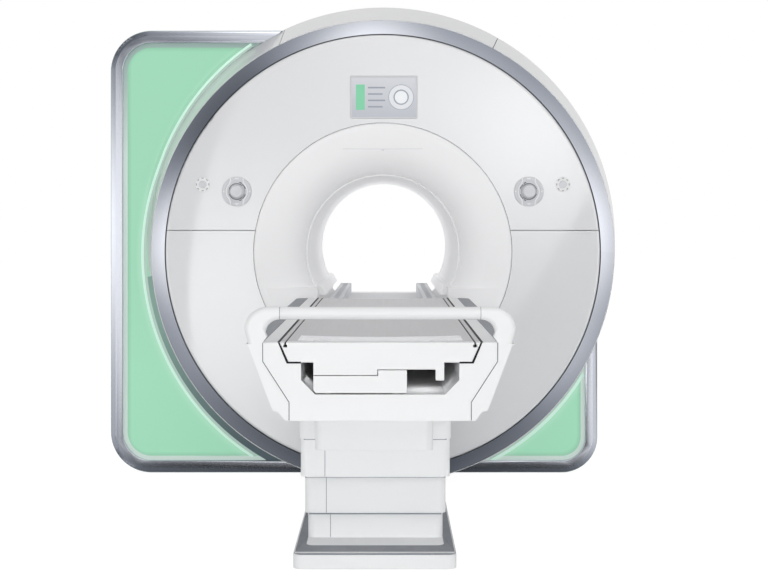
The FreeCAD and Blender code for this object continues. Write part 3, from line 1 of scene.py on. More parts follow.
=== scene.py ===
import functools
import json
import math

import bmesh
import bpy
from mathutils import Matrix, Vector

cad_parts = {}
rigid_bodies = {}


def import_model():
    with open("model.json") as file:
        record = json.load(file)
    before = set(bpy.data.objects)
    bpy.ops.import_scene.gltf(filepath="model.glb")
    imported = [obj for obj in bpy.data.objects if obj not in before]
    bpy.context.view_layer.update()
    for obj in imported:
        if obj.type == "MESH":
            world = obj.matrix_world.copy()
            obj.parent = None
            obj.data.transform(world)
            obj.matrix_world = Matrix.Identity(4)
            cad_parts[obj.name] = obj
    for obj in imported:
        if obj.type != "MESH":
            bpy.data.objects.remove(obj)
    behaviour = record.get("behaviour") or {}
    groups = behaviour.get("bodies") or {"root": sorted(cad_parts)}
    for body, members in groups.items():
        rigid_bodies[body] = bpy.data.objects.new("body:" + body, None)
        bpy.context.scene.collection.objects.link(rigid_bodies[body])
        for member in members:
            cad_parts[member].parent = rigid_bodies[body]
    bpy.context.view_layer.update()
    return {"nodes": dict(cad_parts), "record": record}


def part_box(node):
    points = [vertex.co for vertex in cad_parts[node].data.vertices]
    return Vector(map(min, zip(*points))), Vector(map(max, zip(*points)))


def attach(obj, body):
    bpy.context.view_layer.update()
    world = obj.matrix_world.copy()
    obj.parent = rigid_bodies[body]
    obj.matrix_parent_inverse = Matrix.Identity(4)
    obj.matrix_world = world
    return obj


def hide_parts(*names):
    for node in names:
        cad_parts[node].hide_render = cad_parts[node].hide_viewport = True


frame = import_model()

bl_info = {
    "name": "Magnetic Resonance Scanner",
    "version": (1, 0, 0),
    "blender": (4, 5, 0),
    "location": "3D View > Sidebar > Scanner",
    "description": "Finishes a magnetic resonance scanner and its patient table around their CAD frame",
    "category": "Object",
}

SIDES = (("left", -1), ("right", 1))


def srgb(*parts):
    """A display colour, 0 to 255, as the linear colour that the shaders take."""
    return tuple(
        (part / 255 / 12.92) if part <= 10 else ((part / 255 + 0.055) / 1.055) ** 2.4 for part in parts
    )


# Places taken from the frame.
def low(node):
    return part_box(node)[0]


def high(node):
    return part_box(node)[1]


AXIS = (low("trim_ring").z + high("trim_ring").z) / 2
FRONT = low("upper_front_cover").y
SHELL_RADIUS = high("right_shell").x
SHELL_AXIS = high("top_shell").z - SHELL_RADIUS
PANEL_FRONT = low("left_panel").y
# Rims of the panels' round cut-outs: level of the centre, and radius.
LOWER_RIM_LEVEL = AXIS - 0.018
UPPER_RIM = (SHELL_AXIS, SHELL_RADIUS + 0.0192)
LEFT_RIM = (LOWER_RIM_LEVEL, high("trim_ring").x + 0.102)
RIGHT_RIM = (LOWER_RIM_LEVEL, high("trim_ring").x + 0.068)
# How far a print or an insert stands before its surface, and the play round an insert.
HAIR = 0.0001


# Settings shown in the sidebar.
def colour(name, description, default):
    return bpy.props.FloatVectorProperty(
        name=name, description=description, default=default, size=3, min=0, max=1, subtype="COLOR"
    )


def length(name, description, default):
    return bpy.props.FloatProperty(
        name=name, description=description, default=default, min=0, unit="LENGTH", precision=4
    )


def count(name, description, default):
    return bpy.props.IntProperty(name=name, description=description, default=default, min=3)


class ScannerFinish(bpy.types.PropertyGroup):
    """Colours of the finishes."""

    cover: colour("Covers", "Lacquer of the round front covers", srgb(234, 235, 237))
    bore: colour("Bore", "Moulding of the bore and its funnel", srgb(240, 240, 241))
    housing: colour("Housing", "Body shell, housing and table", srgb(238, 239, 240))
    silver: colour("Silver", "Metallic paint of the ring and the frames", srgb(205, 208, 216))
    mint: colour("Mint", "Coloured side panels", srgb(162, 222, 189))
    tray: colour("Trays", "Grey blue ledges and plinth tray", srgb(120, 126, 137))
    laminate: colour("Tabletop", "Laminate of the moving tabletop", srgb(203, 201, 203))


class ScannerSizes(bpy.types.PropertyGroup):
    """Sizes of the fine work."""

    edge: length("Edge", "Rounding of the table's sharp edges", 0.0012)
    groove: length("Groove", "Width of a seam between two mouldings", 0.0024)
    frame_round: bpy.props.FloatProperty(
        name="Frame edge", description="Share of the frames' inner rounding that is kept", default=0.3,
        min=0.05, max=1,
    )
    seal: length("Seal", "Width of the rubber seal round the end cap", 0.0052)
    seam_across: length("Shroud seam", "From a shroud's left side to its seam", 0.088)
    slot_pitch: length("Slot pitch", "From slot to slot in the bore's rails", 0.072)
    dashes: count("Dashes", "Marks round a small button", 8)
    screws: count("Screws", "Screws round the rear funnel", 16)


# Nodes, for shaders and geometry alike.
class Reading:
    """A node's output, so that sums on it are written as formulas."""

    def __init__(self, socket):
        self.socket = socket

    def __add__(self, other):
        return work("ADD", self, other)

    def __sub__(self, other):
        return work("SUBTRACT", self, other)

    def __rsub__(self, other):
        return work("SUBTRACT", other, self)

    def __mul__(self, other):
        return work("MULTIPLY", self, other)

    def __truediv__(self, other):
        return work("DIVIDE", self, other)


def tree_of(values):
    """The tree that the readings among some values stand in."""
    return next(value.socket.id_data for value in values if isinstance(value, Reading))


def fill(node, values):
    """Set a node's inputs, by name or number, to constants or readings."""
    for key, value in values.items():
        socket = node.inputs[key]
        if isinstance(value, Reading):
            node.id_data.links.new(value.socket, socket)
        elif socket.type == "RGBA" and len(value) == 3:
            socket.default_value = (*value, 1)
        else:
            socket.default_value = value
    return node


def add(tree, kind, values=None, **settings):
    """Add a node, set up and filled."""
    node = tree.nodes.new(kind)
    for key, setting in settings.items():
        setattr(node, key, setting)
    return fill(node, values or {})


def first(tree, kind, values, **settings):
    """The first output of a new node."""
    return Reading(add(tree, kind, values, **settings).outputs[0])


def readings(node):
    """A node's outputs by name."""
    return {socket.name: Reading(socket) for socket in node.outputs}


def work(operation, *values):
    """A number worked out by one node."""
    return first(tree_of(values), "ShaderNodeMath", dict(enumerate(values)), operation=operation)


def through(operation, value, *others):
    """An operation carried through a row of values, such as the largest of them."""
    for other in others:
        value = work(operation, value, other)
    return value


def reach(across, up):
    """Distance from the middle, from its two parts."""
    return work("SQRT", across * across + up * up)


def parts(vector):
    """The X, Y and Z of a vector."""
    node = add(tree_of([vector]), "ShaderNodeSeparateXYZ", {0: vector})
    return [Reading(socket) for socket in node.outputs]


def stretched(vector, amount):
    values = {0: vector, 1: amount}
    return first(tree_of([vector]), "ShaderNodeVectorMath", values, operation="MULTIPLY")


def mix(factor, start, end):
    """A colour between two others."""
    values = {0: factor, 6: start, 7: end}
    return Reading(add(tree_of(values.values()), "ShaderNodeMix", values, data_type="RGBA").outputs[2])


def noise(vector, scale, detail, roughness=0.5):
    values = {"Vector": vector, "Scale": scale, "Detail": detail, "Roughness": roughness}
    return Reading(add(tree_of([vector]), "ShaderNodeTexNoise", values).outputs["Fac"])


def spread(value, start, end, low_end=0.0, high_end=1.0):
    """A value's place between two others, carried over to a new range."""
    values = {0: value, 1: start, 2: end, 3: low_end, 4: high_end}
    return first(tree_of([value]), "ShaderNodeMapRange", values)


def bump(height, strength, distance):
    values = {"Height": height, "Strength": strength, "Distance": distance}
    return first(tree_of([height]), "ShaderNodeBump", values)


def socket_kind(default):
    if isinstance(default, tuple):
        return "Color" if len(default) == 4 else "Vector"
    return {int: "Int", float: "Float"}.get(type(default), "Material")


def new_group(name, inputs, kind="ShaderNodeTree"):
    """A node group; returns its tree and its inputs by name."""
    tree = bpy.data.node_groups.new(name, kind)
    for socket, default in inputs.items():
        socket_type = f"NodeSocket{socket_kind(default)}"
        made = tree.interface.new_socket(socket, in_out="INPUT", socket_type=socket_type)
        if default is not None:
            made.default_value = default
    return tree, readings(tree.nodes.new("NodeGroupInput"))


def finish_group(tree, outputs):
    """Give a group its outputs."""
    for name in outputs:
        kind = name if name in ("Color", "Geometry") else "Float"
        tree.interface.new_socket(name, in_out="OUTPUT", socket_type=f"NodeSocket{kind}")
    fill(tree.nodes.new("NodeGroupOutput"), outputs)
    return tree


def placed(group, vector, values):
    """A shader group beside the vector that it reads; returns its outputs by name."""
    node = tree_of([vector]).nodes.new("ShaderNodeGroup")
    node.node_tree = group
    return readings(fill(node, {"Vector": vector, **values}))


# Effects that several materials share.
ORIGIN = (0, 0, 0)
BLACK = (0, 0, 0)
WHITE = (1, 1, 1, 1)


@functools.cache
def moulded_group():
    """Moulded or lacquered skin: slow patches of tone, fine peel, uneven gloss."""
    tree, given = new_group("Moulded Skin", {
        "Vector": ORIGIN, "Color": WHITE, "Tint": WHITE, "Patch Scale": 2.0, "Patch Amount": 0.5,
        "Grain Scale": 400.0, "Roughness": 0.4, "Roughness Spread": 0.08,
    })
    patches = noise(given["Vector"], given["Patch Scale"], detail=3.0)
    cloud = noise(given["Vector"], 14.0, detail=4.0, roughness=0.6)
    return finish_group(tree, {
        "Color": mix(spread(patches, 0.35, 0.68) * given["Patch Amount"], given["Color"], given["Tint"]),
        "Roughness": given["Roughness"] + (cloud - 0.5) * given["Roughness Spread"],
        "Height": noise(given["Vector"], given["Grain Scale"], detail=1.0),
    })


@functools.cache
def flake_group():
    """Metallic paint: fine flakes that differ in tone and gloss."""
    tree, given = new_group("Metal Flake", {
        "Vector": ORIGIN, "Color": WHITE, "Flake Scale": 900.0, "Flake Amount": 0.2, "Roughness": 0.3,
    })
    values = {"Vector": given["Vector"], "Scale": given["Flake Scale"]}
    flakes = readings(add(tree, "ShaderNodeTexVoronoi", values))
    tone = first(tree, "ShaderNodeSeparateColor", {0: flakes["Color"]})
    return finish_group(tree, {
        "Color": mix(tone * given["Flake Amount"], given["Color"], mix(0.45, given["Color"], BLACK)),
        "Roughness": tone * 0.06 + given["Roughness"],
        "Height": tone,
    })


@functools.cache
def brushed_group():
    """Ground or drawn metal: fine lines along one axis of the stretched vector."""
    tree, given = new_group("Brushed Lines", {
        "Vector": ORIGIN, "Stretch": (1, 1, 1), "Color": WHITE, "Contrast": 0.25, "Roughness": 0.3,
    })
    lines = noise(stretched(given["Vector"], given["Stretch"]), 1.0, detail=4.0, roughness=0.65)
    return finish_group(tree, {
        "Color": mix(lines * given["Contrast"], given["Color"], mix(0.5, given["Color"], BLACK)),
        "Roughness": lines * 0.15 + given["Roughness"],
        "Height": lines,
    })


@functools.cache
def dust_group():
    """A trace of dust on faces that look up."""
    tree, given = new_group("Settled Dust", {"Vector": ORIGIN, "Color": WHITE, "Amount": 0.1})
    upward = parts(readings(tree.nodes.new("ShaderNodeNewGeometry"))["Normal"])[2]
    cloud = noise(given["Vector"], 22.0, detail=5.0, roughness=0.65)
    amount = spread(upward, 0.6, 1.0) * cloud * given["Amount"]
    return finish_group(tree, {"Color": mix(amount, given["Color"], srgb(196, 192, 186))})


@functools.cache
def rim_group():
    """Distance outwards from the rim of a panel's round cut-out."""
    tree, given = new_group("Rim Distance", {"Vector": ORIGIN})
    x, _, z = parts(given["Vector"])
    upper, left, right = (reach(x, z - level) - radius for level, radius in (UPPER_RIM, LEFT_RIM, RIGHT_RIM))
    share = work("GREATER_THAN", x, 0.0)
    distance = right * share + work("MINIMUM", upper, left) * (1.0 - share)
    return finish_group(tree, {"Distance": distance})


# Materials.
def bare_tree(owner):
    """The empty node tree of a material or a world."""
    owner.use_nodes = True
    owner.node_tree.nodes.clear()
    return owner.node_tree


def new_material(name):
    """A material; returns it, its Principled shader and its Object coordinates."""
    material = bpy.data.materials.new(name)
    tree = bare_tree(material)
    shader = tree.nodes.new("ShaderNodeBsdfPrincipled")
    add(tree, "ShaderNodeOutputMaterial", {"Surface": Reading(shader.outputs[0])})
    return material, shader, readings(tree.nodes.new("ShaderNodeTexCoord"))["Object"]


def shade(tone, factor):
    return tuple(min(part * factor, 1) for part in tone)


def moulded(
    name, tone, tint=0.93, roughness=0.35, uneven=0.06, patch=1.6, grain=320.0, relief=0.35, depth=0.00004,
    coat=0.0, coat_index=1.5, dust=0.0, glow=0.0,
):
    """Moulded plastic or lacquer. Its tone is a colour, or a function of X, Y and Z that gives one."""
    material, shader, vector = new_material(name)
    if callable(tone):
        tone = tinted = tone(*parts(vector))
    else:
        tinted = shade(tone, tint)
    skin = placed(moulded_group(), vector, {
        "Color": tone, "Tint": tinted, "Patch Scale": patch, "Grain Scale": grain, "Roughness": roughness,
        "Roughness Spread": uneven,
    })
    surface = skin["Color"]
    if dust:
        surface = placed(dust_group(), vector, {"Color": surface, "Amount": dust})["Color"]
    fill(shader, {
        "Base Color": surface, "Roughness": skin["Roughness"], "Normal": bump(skin["Height"], relief, depth),
        "Coat Weight": coat, "Coat IOR": coat_index, "Coat Roughness": 0.04,
    })
    if glow:
        fill(shader, {"Emission Color": surface, "Emission Strength": glow})
    return material


def lacquered_metal(name, tone):
    """Metallic paint under a clear coat."""
    material, shader, vector = new_material(name)
    paint = placed(flake_group(), vector, {"Color": tone, "Flake Amount": 0.2, "Roughness": 0.14})
    fill(shader, {
        "Base Color": paint["Color"], "Roughness": paint["Roughness"], "Metallic": 1.0,
        "Normal": bump(paint["Height"], 0.12, 0.00003), "Coat Weight": 0.5, "Coat Roughness": 0.12,
    })
    return material


def brushed_metal(name, tone, stretch, roughness, contrast):
    """Bare metal with fine lines."""
    material, shader, vector = new_material(name)
    values = {"Stretch": stretch, "Color": tone, "Contrast": contrast, "Roughness": roughness}
    lines = placed(brushed_group(), vector, values)
    fill(shader, {
        "Base Color": lines["Color"], "Roughness": lines["Roughness"], "Metallic": 1.0,
        "Normal": bump(lines["Height"], 0.2, 0.00005),
    })
    return material


def mint_material(tone):
    """Satin panel with a painted glow all over, as if lit faintly from behind; deeper in tone towards its
    foot, with painted light towards its right and its lower part, painted shadow beside the frames and a
    painted glow along the rims.
    """
    material, shader, vector = new_material("mint_panel")
    x, _, z = parts(vector)
    skin = placed(moulded_group(), vector, {
        "Color": mix(spread(z, 0.1, 1.9), shade(tone, 0.98), tone), "Tint": shade(tone, 0.96),
        "Patch Scale": 0.9, "Patch Amount": 0.6, "Grain Scale": 260.0, "Roughness": 0.34,
        "Roughness Spread": 0.05,
    })
    # Painted light: the panels turn lighter to the right and low down.
    painted_lift = work("MAXIMUM", spread(x, 0.2, 0.6), spread(z, 1.0, 0.5))
    # Painted shadow along the frames' inner edges.
    shadow = spread(frame_distance(x, z), 0.001, 0.02, 0.84, 1.0)
    # Painted glow: pale mint-white fading out from the rims of the round cut-outs.
    painted_rim_glow = spread(placed(rim_group(), vector, {})["Distance"], 0.0, 0.03, 0.22, 0.0)
    surface = mix(painted_lift, skin["Color"], shade(tone, 1.05))
    surface = mix(shadow, BLACK, surface)
    surface = mix(painted_rim_glow, surface, srgb(230, 250, 240))
    # The emission is a painted glow that evens out the panels' shading.
    fill(shader, {
        "Base Color": mix(0.4, surface, BLACK), "Roughness": skin["Roughness"],
        "Normal": bump(skin["Height"], 0.2, 0.00003), "Emission Color": surface, "Emission Strength": 0.48,
    })
    return material


def frame_distance(x, z):
    """Distance inwards from the frames' rounded inner edge."""
    near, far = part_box("left_panel")
    corner = 0.1
    reaches = [
        work("ABSOLUTE", place - (start + end) / 2) - ((end - start) / 2 - corner)
        for place, start, end in ((x, near.x, high("right_panel").x), (z, near.z, far.z))
    ]
    outside = [work("MAXIMUM", past, 0.0) for past in reaches]
    return corner - reach(*outside) - work("MINIMUM", work("MAXIMUM", *reaches), 0.0)


def reveal_tone(x, y, z):
    """Satin on the frames' lips, with painted shade that darkens it under the top."""
    return mix(spread(z, 1.5, 1.98), srgb(206, 222, 215), srgb(152, 174, 168))


def painted_rim_shadow_tone(x, y, z):
    """Satin band of painted shadow behind the ring, darker towards the floor."""
    return mix(spread(z, 0.15, 0.75), srgb(84, 98, 104), srgb(138, 168, 158))


def bezel_tone(x, y, z):
    """A thin dark line round a pale satin band."""
    near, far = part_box("display_bezel")
    nearest = through("MINIMUM", x - near.x, far.x - x, z - near.z, far.z - z)
    return mix(spread(nearest, 0.0045, 0.0055, 1.0, 0.0), srgb(222, 223, 226), srgb(118, 124, 138))


def laminate_material(tone):
    """Hard tabletop laminate: fine speckle and faint wiping marks along the table."""
    material, shader, vector = new_material("tabletop_laminate")
    speckle = noise(vector, 900.0, detail=2.0)
    fine = mix(spread(speckle, 0.42, 0.62), shade(tone, 0.93), shade(tone, 1.04))
    streaks = noise(stretched(vector, (60, 1.5, 60)), 1.0, detail=4.0, roughness=0.6)
    fill(shader, {
        "Base Color": mix(spread(streaks, 0.4, 0.75, 0.0, 0.35), fine, shade(tone, 1.12)),
        "Roughness": spread(streaks, 0.3, 0.7, 0.34, 0.48), "Normal": bump(speckle, 0.25, 0.00006),
    })
    return material


def picture_material():
    """Display picture: a pale grey field, soft rings on the right, a mint block and bars."""
    material, shader, vector = new_material("display_picture")
    near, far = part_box("display_glass")
    centre, width = (near + far) / 2, far.x - near.x
    x, _, z = parts(vector)
    x, z = (x - centre.x) / width, (z - centre.z) / width

    def inside(left, right, bottom, top):
        return through(
            "MULTIPLY", work("GREATER_THAN", x, left), work("LESS_THAN", x, right),
            work("GREATER_THAN", z, bottom), work("LESS_THAN", z, top),
        )

    picture = mix(spread(z, -0.3, 0.3), srgb(186, 189, 197), srgb(208, 210, 215))
    distance = reach(x - 0.27, z)
    rings = ((0.2, (160, 166, 178)), (0.19, (224, 226, 230)), (0.12, (150, 157, 170)), (0.1, (236, 238, 241)))
    for radius, tone in rings:
        picture = mix(work("LESS_THAN", distance, radius), picture, srgb(*tone))
    picture = mix(inside(-0.44, -0.3, -0.2, 0.2), picture, srgb(128, 206, 166))
    for step in range(4):
        level, right = 0.15 - step * 0.1, 0.02 - 0.04 * (step % 2)
        picture = mix(inside(-0.25, right, level - 0.012, level + 0.012), picture, srgb(150, 156, 168))
    fill(shader, {
        "Base Color": picture, "Roughness": 0.2, "Emission Color": picture, "Emission Strength": 0.15,
    })
    return material


def make_finishes(settings):
    """Every finish by name."""
    cover, bore, white, silver, mint, tray, laminate = (
        tuple(getattr(settings, name)) for name in ScannerFinish.__annotations__
    )
    lit = {"uneven": 0.08, "patch": 2.0, "grain": 600.0, "relief": 0.2, "depth": 0.00003}
    return {
        "cover": moulded(
            "cover_lacquer", cover, tint=0.985, uneven=0.03, patch=0.8, grain=180.0, depth=0.00001, coat=1.0,
            coat_index=1.8,
        ),
        # The bore and the liner glow a little: painted light in the bore.
        "bore": moulded("bore_moulding", bore, tint=0.98, roughness=0.42, patch=1.2, dust=0.05, glow=0.1),
        "liner": moulded("liner_moulding", bore, tint=0.98, roughness=0.6, patch=1.2, dust=0.05, glow=0.1),
        "shell": moulded("shell_lacquer", shade(white, 0.93), roughness=0.3, coat=0.3, dust=0.15),
        "housing": moulded("housing_moulding", white, roughness=0.45, grain=240.0, dust=0.2),
        # A slightly darker copy of the housing white: painted shade that tones down the brightly lit table.
        "table": moulded(
            "table_moulding", shade(white, 0.98), tint=0.97, roughness=0.38, patch=2.5, grain=420.0,
            dust=0.12,
        ),
        # A brighter copy of the housing white: painted light on the shrouds in the table's shade.
        "shroud": moulded(
            "shroud_paint", shade(white, 1.06), tint=0.97, roughness=0.4, patch=3.0, grain=600.0,
            depth=0.00003,
        ),
        "silver": lacquered_metal("silver_lacquer", silver),
        "mint": mint_material(mint),
        # Painted highlight: a bright flat strip along the panels' cut-outs, glowing though it is no lamp.
        "rim_edge": moulded("rim_edge", srgb(206, 240, 222), roughness=0.45, grain=500.0, glow=0.34),
        # A pale band; its glow is painted light.
        "rim_band": moulded("rim_band", srgb(186, 210, 200), roughness=0.45, grain=500.0, glow=0.2),
        # Painted shadow: a dark satin band where the gap behind the ring lies in shade; its glow is painted
        # light.
        "rim_shade": moulded("rim_shade", painted_rim_shadow_tone, roughness=0.55, glow=0.2, **lit),
        # The reveal's glow is painted light.
        "reveal": moulded("frame_reveal", reveal_tone, roughness=0.5, glow=0.25, **lit),
        "bezel": moulded("display_bezel", bezel_tone, **{**lit, "grain": 900.0, "depth": 0.00002}),
        "screen": picture_material(),
        "joint": moulded("joint_shadow", srgb(96, 100, 110), roughness=0.6, grain=1200.0),
        "seam": moulded("seam_shadow", srgb(150, 154, 162), roughness=0.6, grain=1200.0),
        # The plate's glow is painted light in the foot recess.
        "plate": moulded(
            "plate_moulding", srgb(238, 238, 240), tint=0.97, roughness=0.4, grain=600.0, glow=0.12,
        ),
        "tray": moulded("tray_moulding", tray, tint=0.9, roughness=0.5, grain=500.0, dust=0.3),
        "laminate": laminate_material(laminate),
        "rail": moulded("rail_paint", srgb(216, 218, 221), tint=0.92, roughness=0.5, grain=500.0),
        "vessel": brushed_metal("vessel_steel", srgb(190, 192, 196), (6, 90, 90), 0.42, 0.35),
        "resin": moulded("coil_resin", srgb(206, 192, 150), tint=0.8, patch=6.0),
        "feet": moulded("feet_paint", srgb(96, 99, 106), tint=0.8, roughness=0.5, grain=260.0, dust=0.4),
        "steel": brushed_metal("ground_steel", srgb(186, 188, 192), (400, 400, 6), 0.22, 0.25),
        "ring": moulded("control_moulding", srgb(220, 221, 225), tint=0.97, roughness=0.4, grain=900.0),
        "key": moulded("key_moulding", srgb(220, 222, 226), tint=0.96, roughness=0.36, grain=900.0),
        "dial": moulded(
            "dial_moulding", srgb(220, 221, 225), tint=0.96, roughness=0.33, grain=1200.0, coat=0.2,
        ),
        "mark": moulded("white_print", srgb(250, 250, 250), roughness=0.45, grain=1500.0),
        "dash": moulded("grey_insert", srgb(168, 171, 178), roughness=0.5, grain=1500.0),
        "crease": moulded("crease_shade", srgb(214, 216, 220), roughness=0.5, grain=1500.0),
        # Dark print, and painted shade in the grooves round the dials and in the rails' slots.
        "dark": moulded("dark_print", srgb(62, 68, 80), roughness=0.5, grain=1500.0),
        "gasket": moulded("seal_rubber", srgb(24, 26, 30), roughness=0.7, grain=900.0),
    }


FINISHES = {}


# Pieces and meshes.
def show(finish, *nodes):
    """Give CAD nodes their finish."""
    for node in nodes:
        materials = frame["nodes"][node].data.materials
        materials.clear()
        materials.append(FINISHES[finish])


def piece(name, mesh, finish, on, instead_of=()):
    """A finished piece from a mesh, with the body of a CAD node."""
    obj = bpy.data.objects.new(name, mesh)
    bpy.context.scene.collection.objects.link(obj)
    mesh.materials.clear()
    mesh.materials.append(FINISHES[finish])
    body = frame["nodes"][on].parent.name.split(":", 1)[1]
    slot = next(part["material_slot"] for part in frame["record"]["subparts"] if part["node"] == on)
    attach(obj, body)
    if instead_of:
        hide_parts(*instead_of)
    return obj


def mesh_from(bm, name, sharp=35):
    """Close a bmesh into a mesh, smooth except along edges sharper than an angle."""
    bmesh.ops.remove_doubles(bm, verts=bm.verts, dist=1e-6)
    bmesh.ops.recalc_face_normals(bm, faces=bm.faces)
    limit = math.radians(sharp)
    for face in bm.faces:
        face.smooth = True
    for edge in bm.edges:
        edge.smooth = len(edge.link_faces) == 2 and edge.calc_face_angle(0) < limit
    mesh = bpy.data.meshes.new(name)
    bm.to_mesh(mesh)
    bm.free()
    return mesh


def settle(bm):
    """Put a bmesh's parts in a fixed order by their places, because extruding leaves them in none."""
    for sequence, place in (
        (bm.verts, lambda vert: vert.co[:]),
        (bm.edges, lambda edge: (edge.verts[0].co + edge.verts[1].co)[:]),
        (bm.faces, lambda face: face.calc_center_median()[:]),
    ):
        ranks = {part: rank for rank, part in enumerate(sorted(sequence, key=place))}
        sequence.sort(key=ranks.get)


def node_bmesh(node):
    """A merged copy of a CAD node, its flat faces joined."""
    bm = bmesh.new()
    bm.from_mesh(frame["nodes"][node].data)
    bmesh.ops.remove_doubles(bm, verts=bm.verts, dist=1e-6)
    bmesh.ops.dissolve_limit(
        bm, angle_limit=math.radians(0.3), verts=bm.verts, edges=bm.edges, use_dissolve_boundaries=False
    )
    return bm


def box(across, along, up):
    """A box as a prism, from three (from, to) pairs."""
    (left, right), (near, far) = across, along
    return "XY", [(left, near), (right, near), (right, far), (left, far)], *up


def add_prism(bm, plane, outline, start, end):
    """Add a prism: an outline in XY or XZ, carried between two levels of the third axis."""
    loops = []
    for level in (start, end):
        corners = [(one, two, level) if plane == "XY" else (one, level, two) for one, two in outline]
        loops.append([bm.verts.new(corner) for corner in corners])
    faces = [bm.faces.new(loop) for loop in loops] + skin_between(bm, *loops)
    bmesh.ops.recalc_face_normals(bm, faces=faces)


def skin_between(bm, near, far):
    """Faces from one closed row of corners to the next."""
    faces = []
    for index in range(len(near)):
        after = (index + 1) % len(near)
        faces.append(bm.faces.new((near[index], near[after], far[after], far[index])))
    return faces


def cut_away(bm, cutters):
    """Cut prisms out of a bmesh."""
    if not cutters:
        return bm
    tool_bm = bmesh.new()
    for cutter in cutters:
        add_prism(tool_bm, *cutter)
    made = []
    for name, source in (("cut_target", bm), ("cut_tool", tool_bm)):
        obj = bpy.data.objects.new(name, bpy.data.meshes.new(name))
        source.to_mesh(obj.data)
        source.free()
        bpy.context.scene.collection.objects.link(obj)
        made.append(obj)
    target, tool = made
    modifier = target.modifiers.new("cut", "BOOLEAN")
    modifier.object = tool
    modifier.operation = "DIFFERENCE"
    modifier.solver = "EXACT"
    bpy.context.view_layer.update()
    cut = bpy.data.meshes.new_from_object(target.evaluated_get(bpy.context.evaluated_depsgraph_get()))
    result = bmesh.new()
    result.from_mesh(cut)
    for obj in made:
        bpy.data.objects.remove(obj)
    return result


def soften(obj, width, angle=30):
    """Round a piece's sharp edges."""
    bevel = obj.modifiers.new("edges", "BEVEL")
    bevel.width = width
    bevel.segments = 2
    bevel.limit_method = "ANGLE"
    bevel.angle_limit = math.radians(angle)
    bevel.harden_normals = True
    return obj


def softened(node, finish, width, cutters=()):
    """A copy of a CAD node with rounded edges, and grooves cut where told."""
    name = f"{node}_skin"
    mesh = mesh_from(cut_away(node_bmesh(node), cutters), name, sharp=30)
    return soften(piece(name, mesh, finish, node, (node,)), width)


def prism(name, plane, outline, start, end, finish, on):
    """A piece from one prism."""
    bm = bmesh.new()
    add_prism(bm, plane, outline, start, end)
    return piece(name, mesh_from(bm, name), finish, on)


def flat_piece(name, outline, start, end, finish, on):
    """A thin plate from an outline of (x, z) points, between two depths along Y."""
    return prism(name, "XZ", outline, start, end, finish, on)


def bar(name, across, along, up, finish, on):
    """A straight bar with softened edges, from three (from, to) pairs."""
    made = prism(name, *box(across, along, up), finish, on)
    return soften(made, min(across[1] - across[0], up[1] - up[0]) * 0.25)


def on_circle(centre, radius, turn):
    return centre[0] + radius * math.cos(turn), centre[1] + radius * math.sin(turn)


def disc(centre, radius, steps=24):
    """Outline of a circle."""
    return [on_circle(centre, radius, math.tau * step / steps) for step in range(steps)]


def arc_band(centre, inner, outer, start, end):
    """Outline of a band along a circle, angles in degrees from +X towards +Z."""
    steps = 20
    points = []
    for radius, from_angle, to_angle in ((outer, start, end), (inner, end, start)):
        for step in range(steps + 1):
            turn = math.radians(from_angle + (to_angle - from_angle) * step / steps)
            points.append(on_circle(centre, radius, turn))
    return points


def crossways(points, index):
    """Direction across a path in XZ at one of its points."""
    before, after = points[max(index - 1, 0)], points[min(index + 1, len(points) - 1)]
    along = Vector((after[0] - before[0], 0, after[2] - before[2])).normalized()
    return Vector((-along.z, 0, along.x))


def tape(name, points, width, thickness, finish, on):
    """A thin strip along points, flat towards the front, its front face on the points."""
    bm = bmesh.new()
    back = Vector((0, thickness, 0))
    loops = []
    for index, here in enumerate(points):
        across = crossways(points, index) * (width / 2)
        here = Vector(here)
        corners = (here - across, here + across, here + across + back, here - across + back)
        loops.append([bm.verts.new(corner) for corner in corners])
    for near, far in zip(loops, loops[1:]):
        skin_between(bm, near, far)
    bm.faces.new(loops[0])
    bm.faces.new(loops[-1][::-1])
    return piece(name, mesh_from(bm, name), finish, on)


def front_of(node, x, z):
    """Depth of a CAD node's front surface at x, z."""
    obj = frame["nodes"][node]
    inverse = obj.matrix_world.inverted()
    start = inverse @ Vector((x, low(node).y - 1, z))
    way = (inverse.to_3x3() @ Vector((0, 1, 0))).normalized()
    found, place, _, _ = obj.ray_cast(start, way)
    if not found:
        raise RuntimeError(f"{node} has no surface at {x}, {z}")
    return (obj.matrix_world @ place).y


def middle(node):
    """Middle of a CAD node, seen from the front, as x, z."""
    near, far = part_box(node)
    return (near.x + far.x) / 2, (near.z + far.z) / 2


# Geometry nodes for what repeats.
def grow(tree, kind, values, **settings):
    """The first output of a new geometry node."""
    return first(tree, f"GeometryNode{kind}", values, **settings)


def finish_tree(tree, given, points, instance, turn, **more):
    """Set an instance on points, turn and place them all, make them real and give them their material."""
    instances = grow(tree, "InstanceOnPoints", {"Points": points, "Instance": instance, **more})
    moved = grow(tree, "Transform", {"Geometry": instances, "Translation": given["Place"], "Rotation": turn})
    real = grow(tree, "RealizeInstances", {0: moved})
    coloured = grow(tree, "SetMaterial", {"Geometry": real, "Material": given["Material"]})
    return finish_group(tree, {"Geometry": coloured})


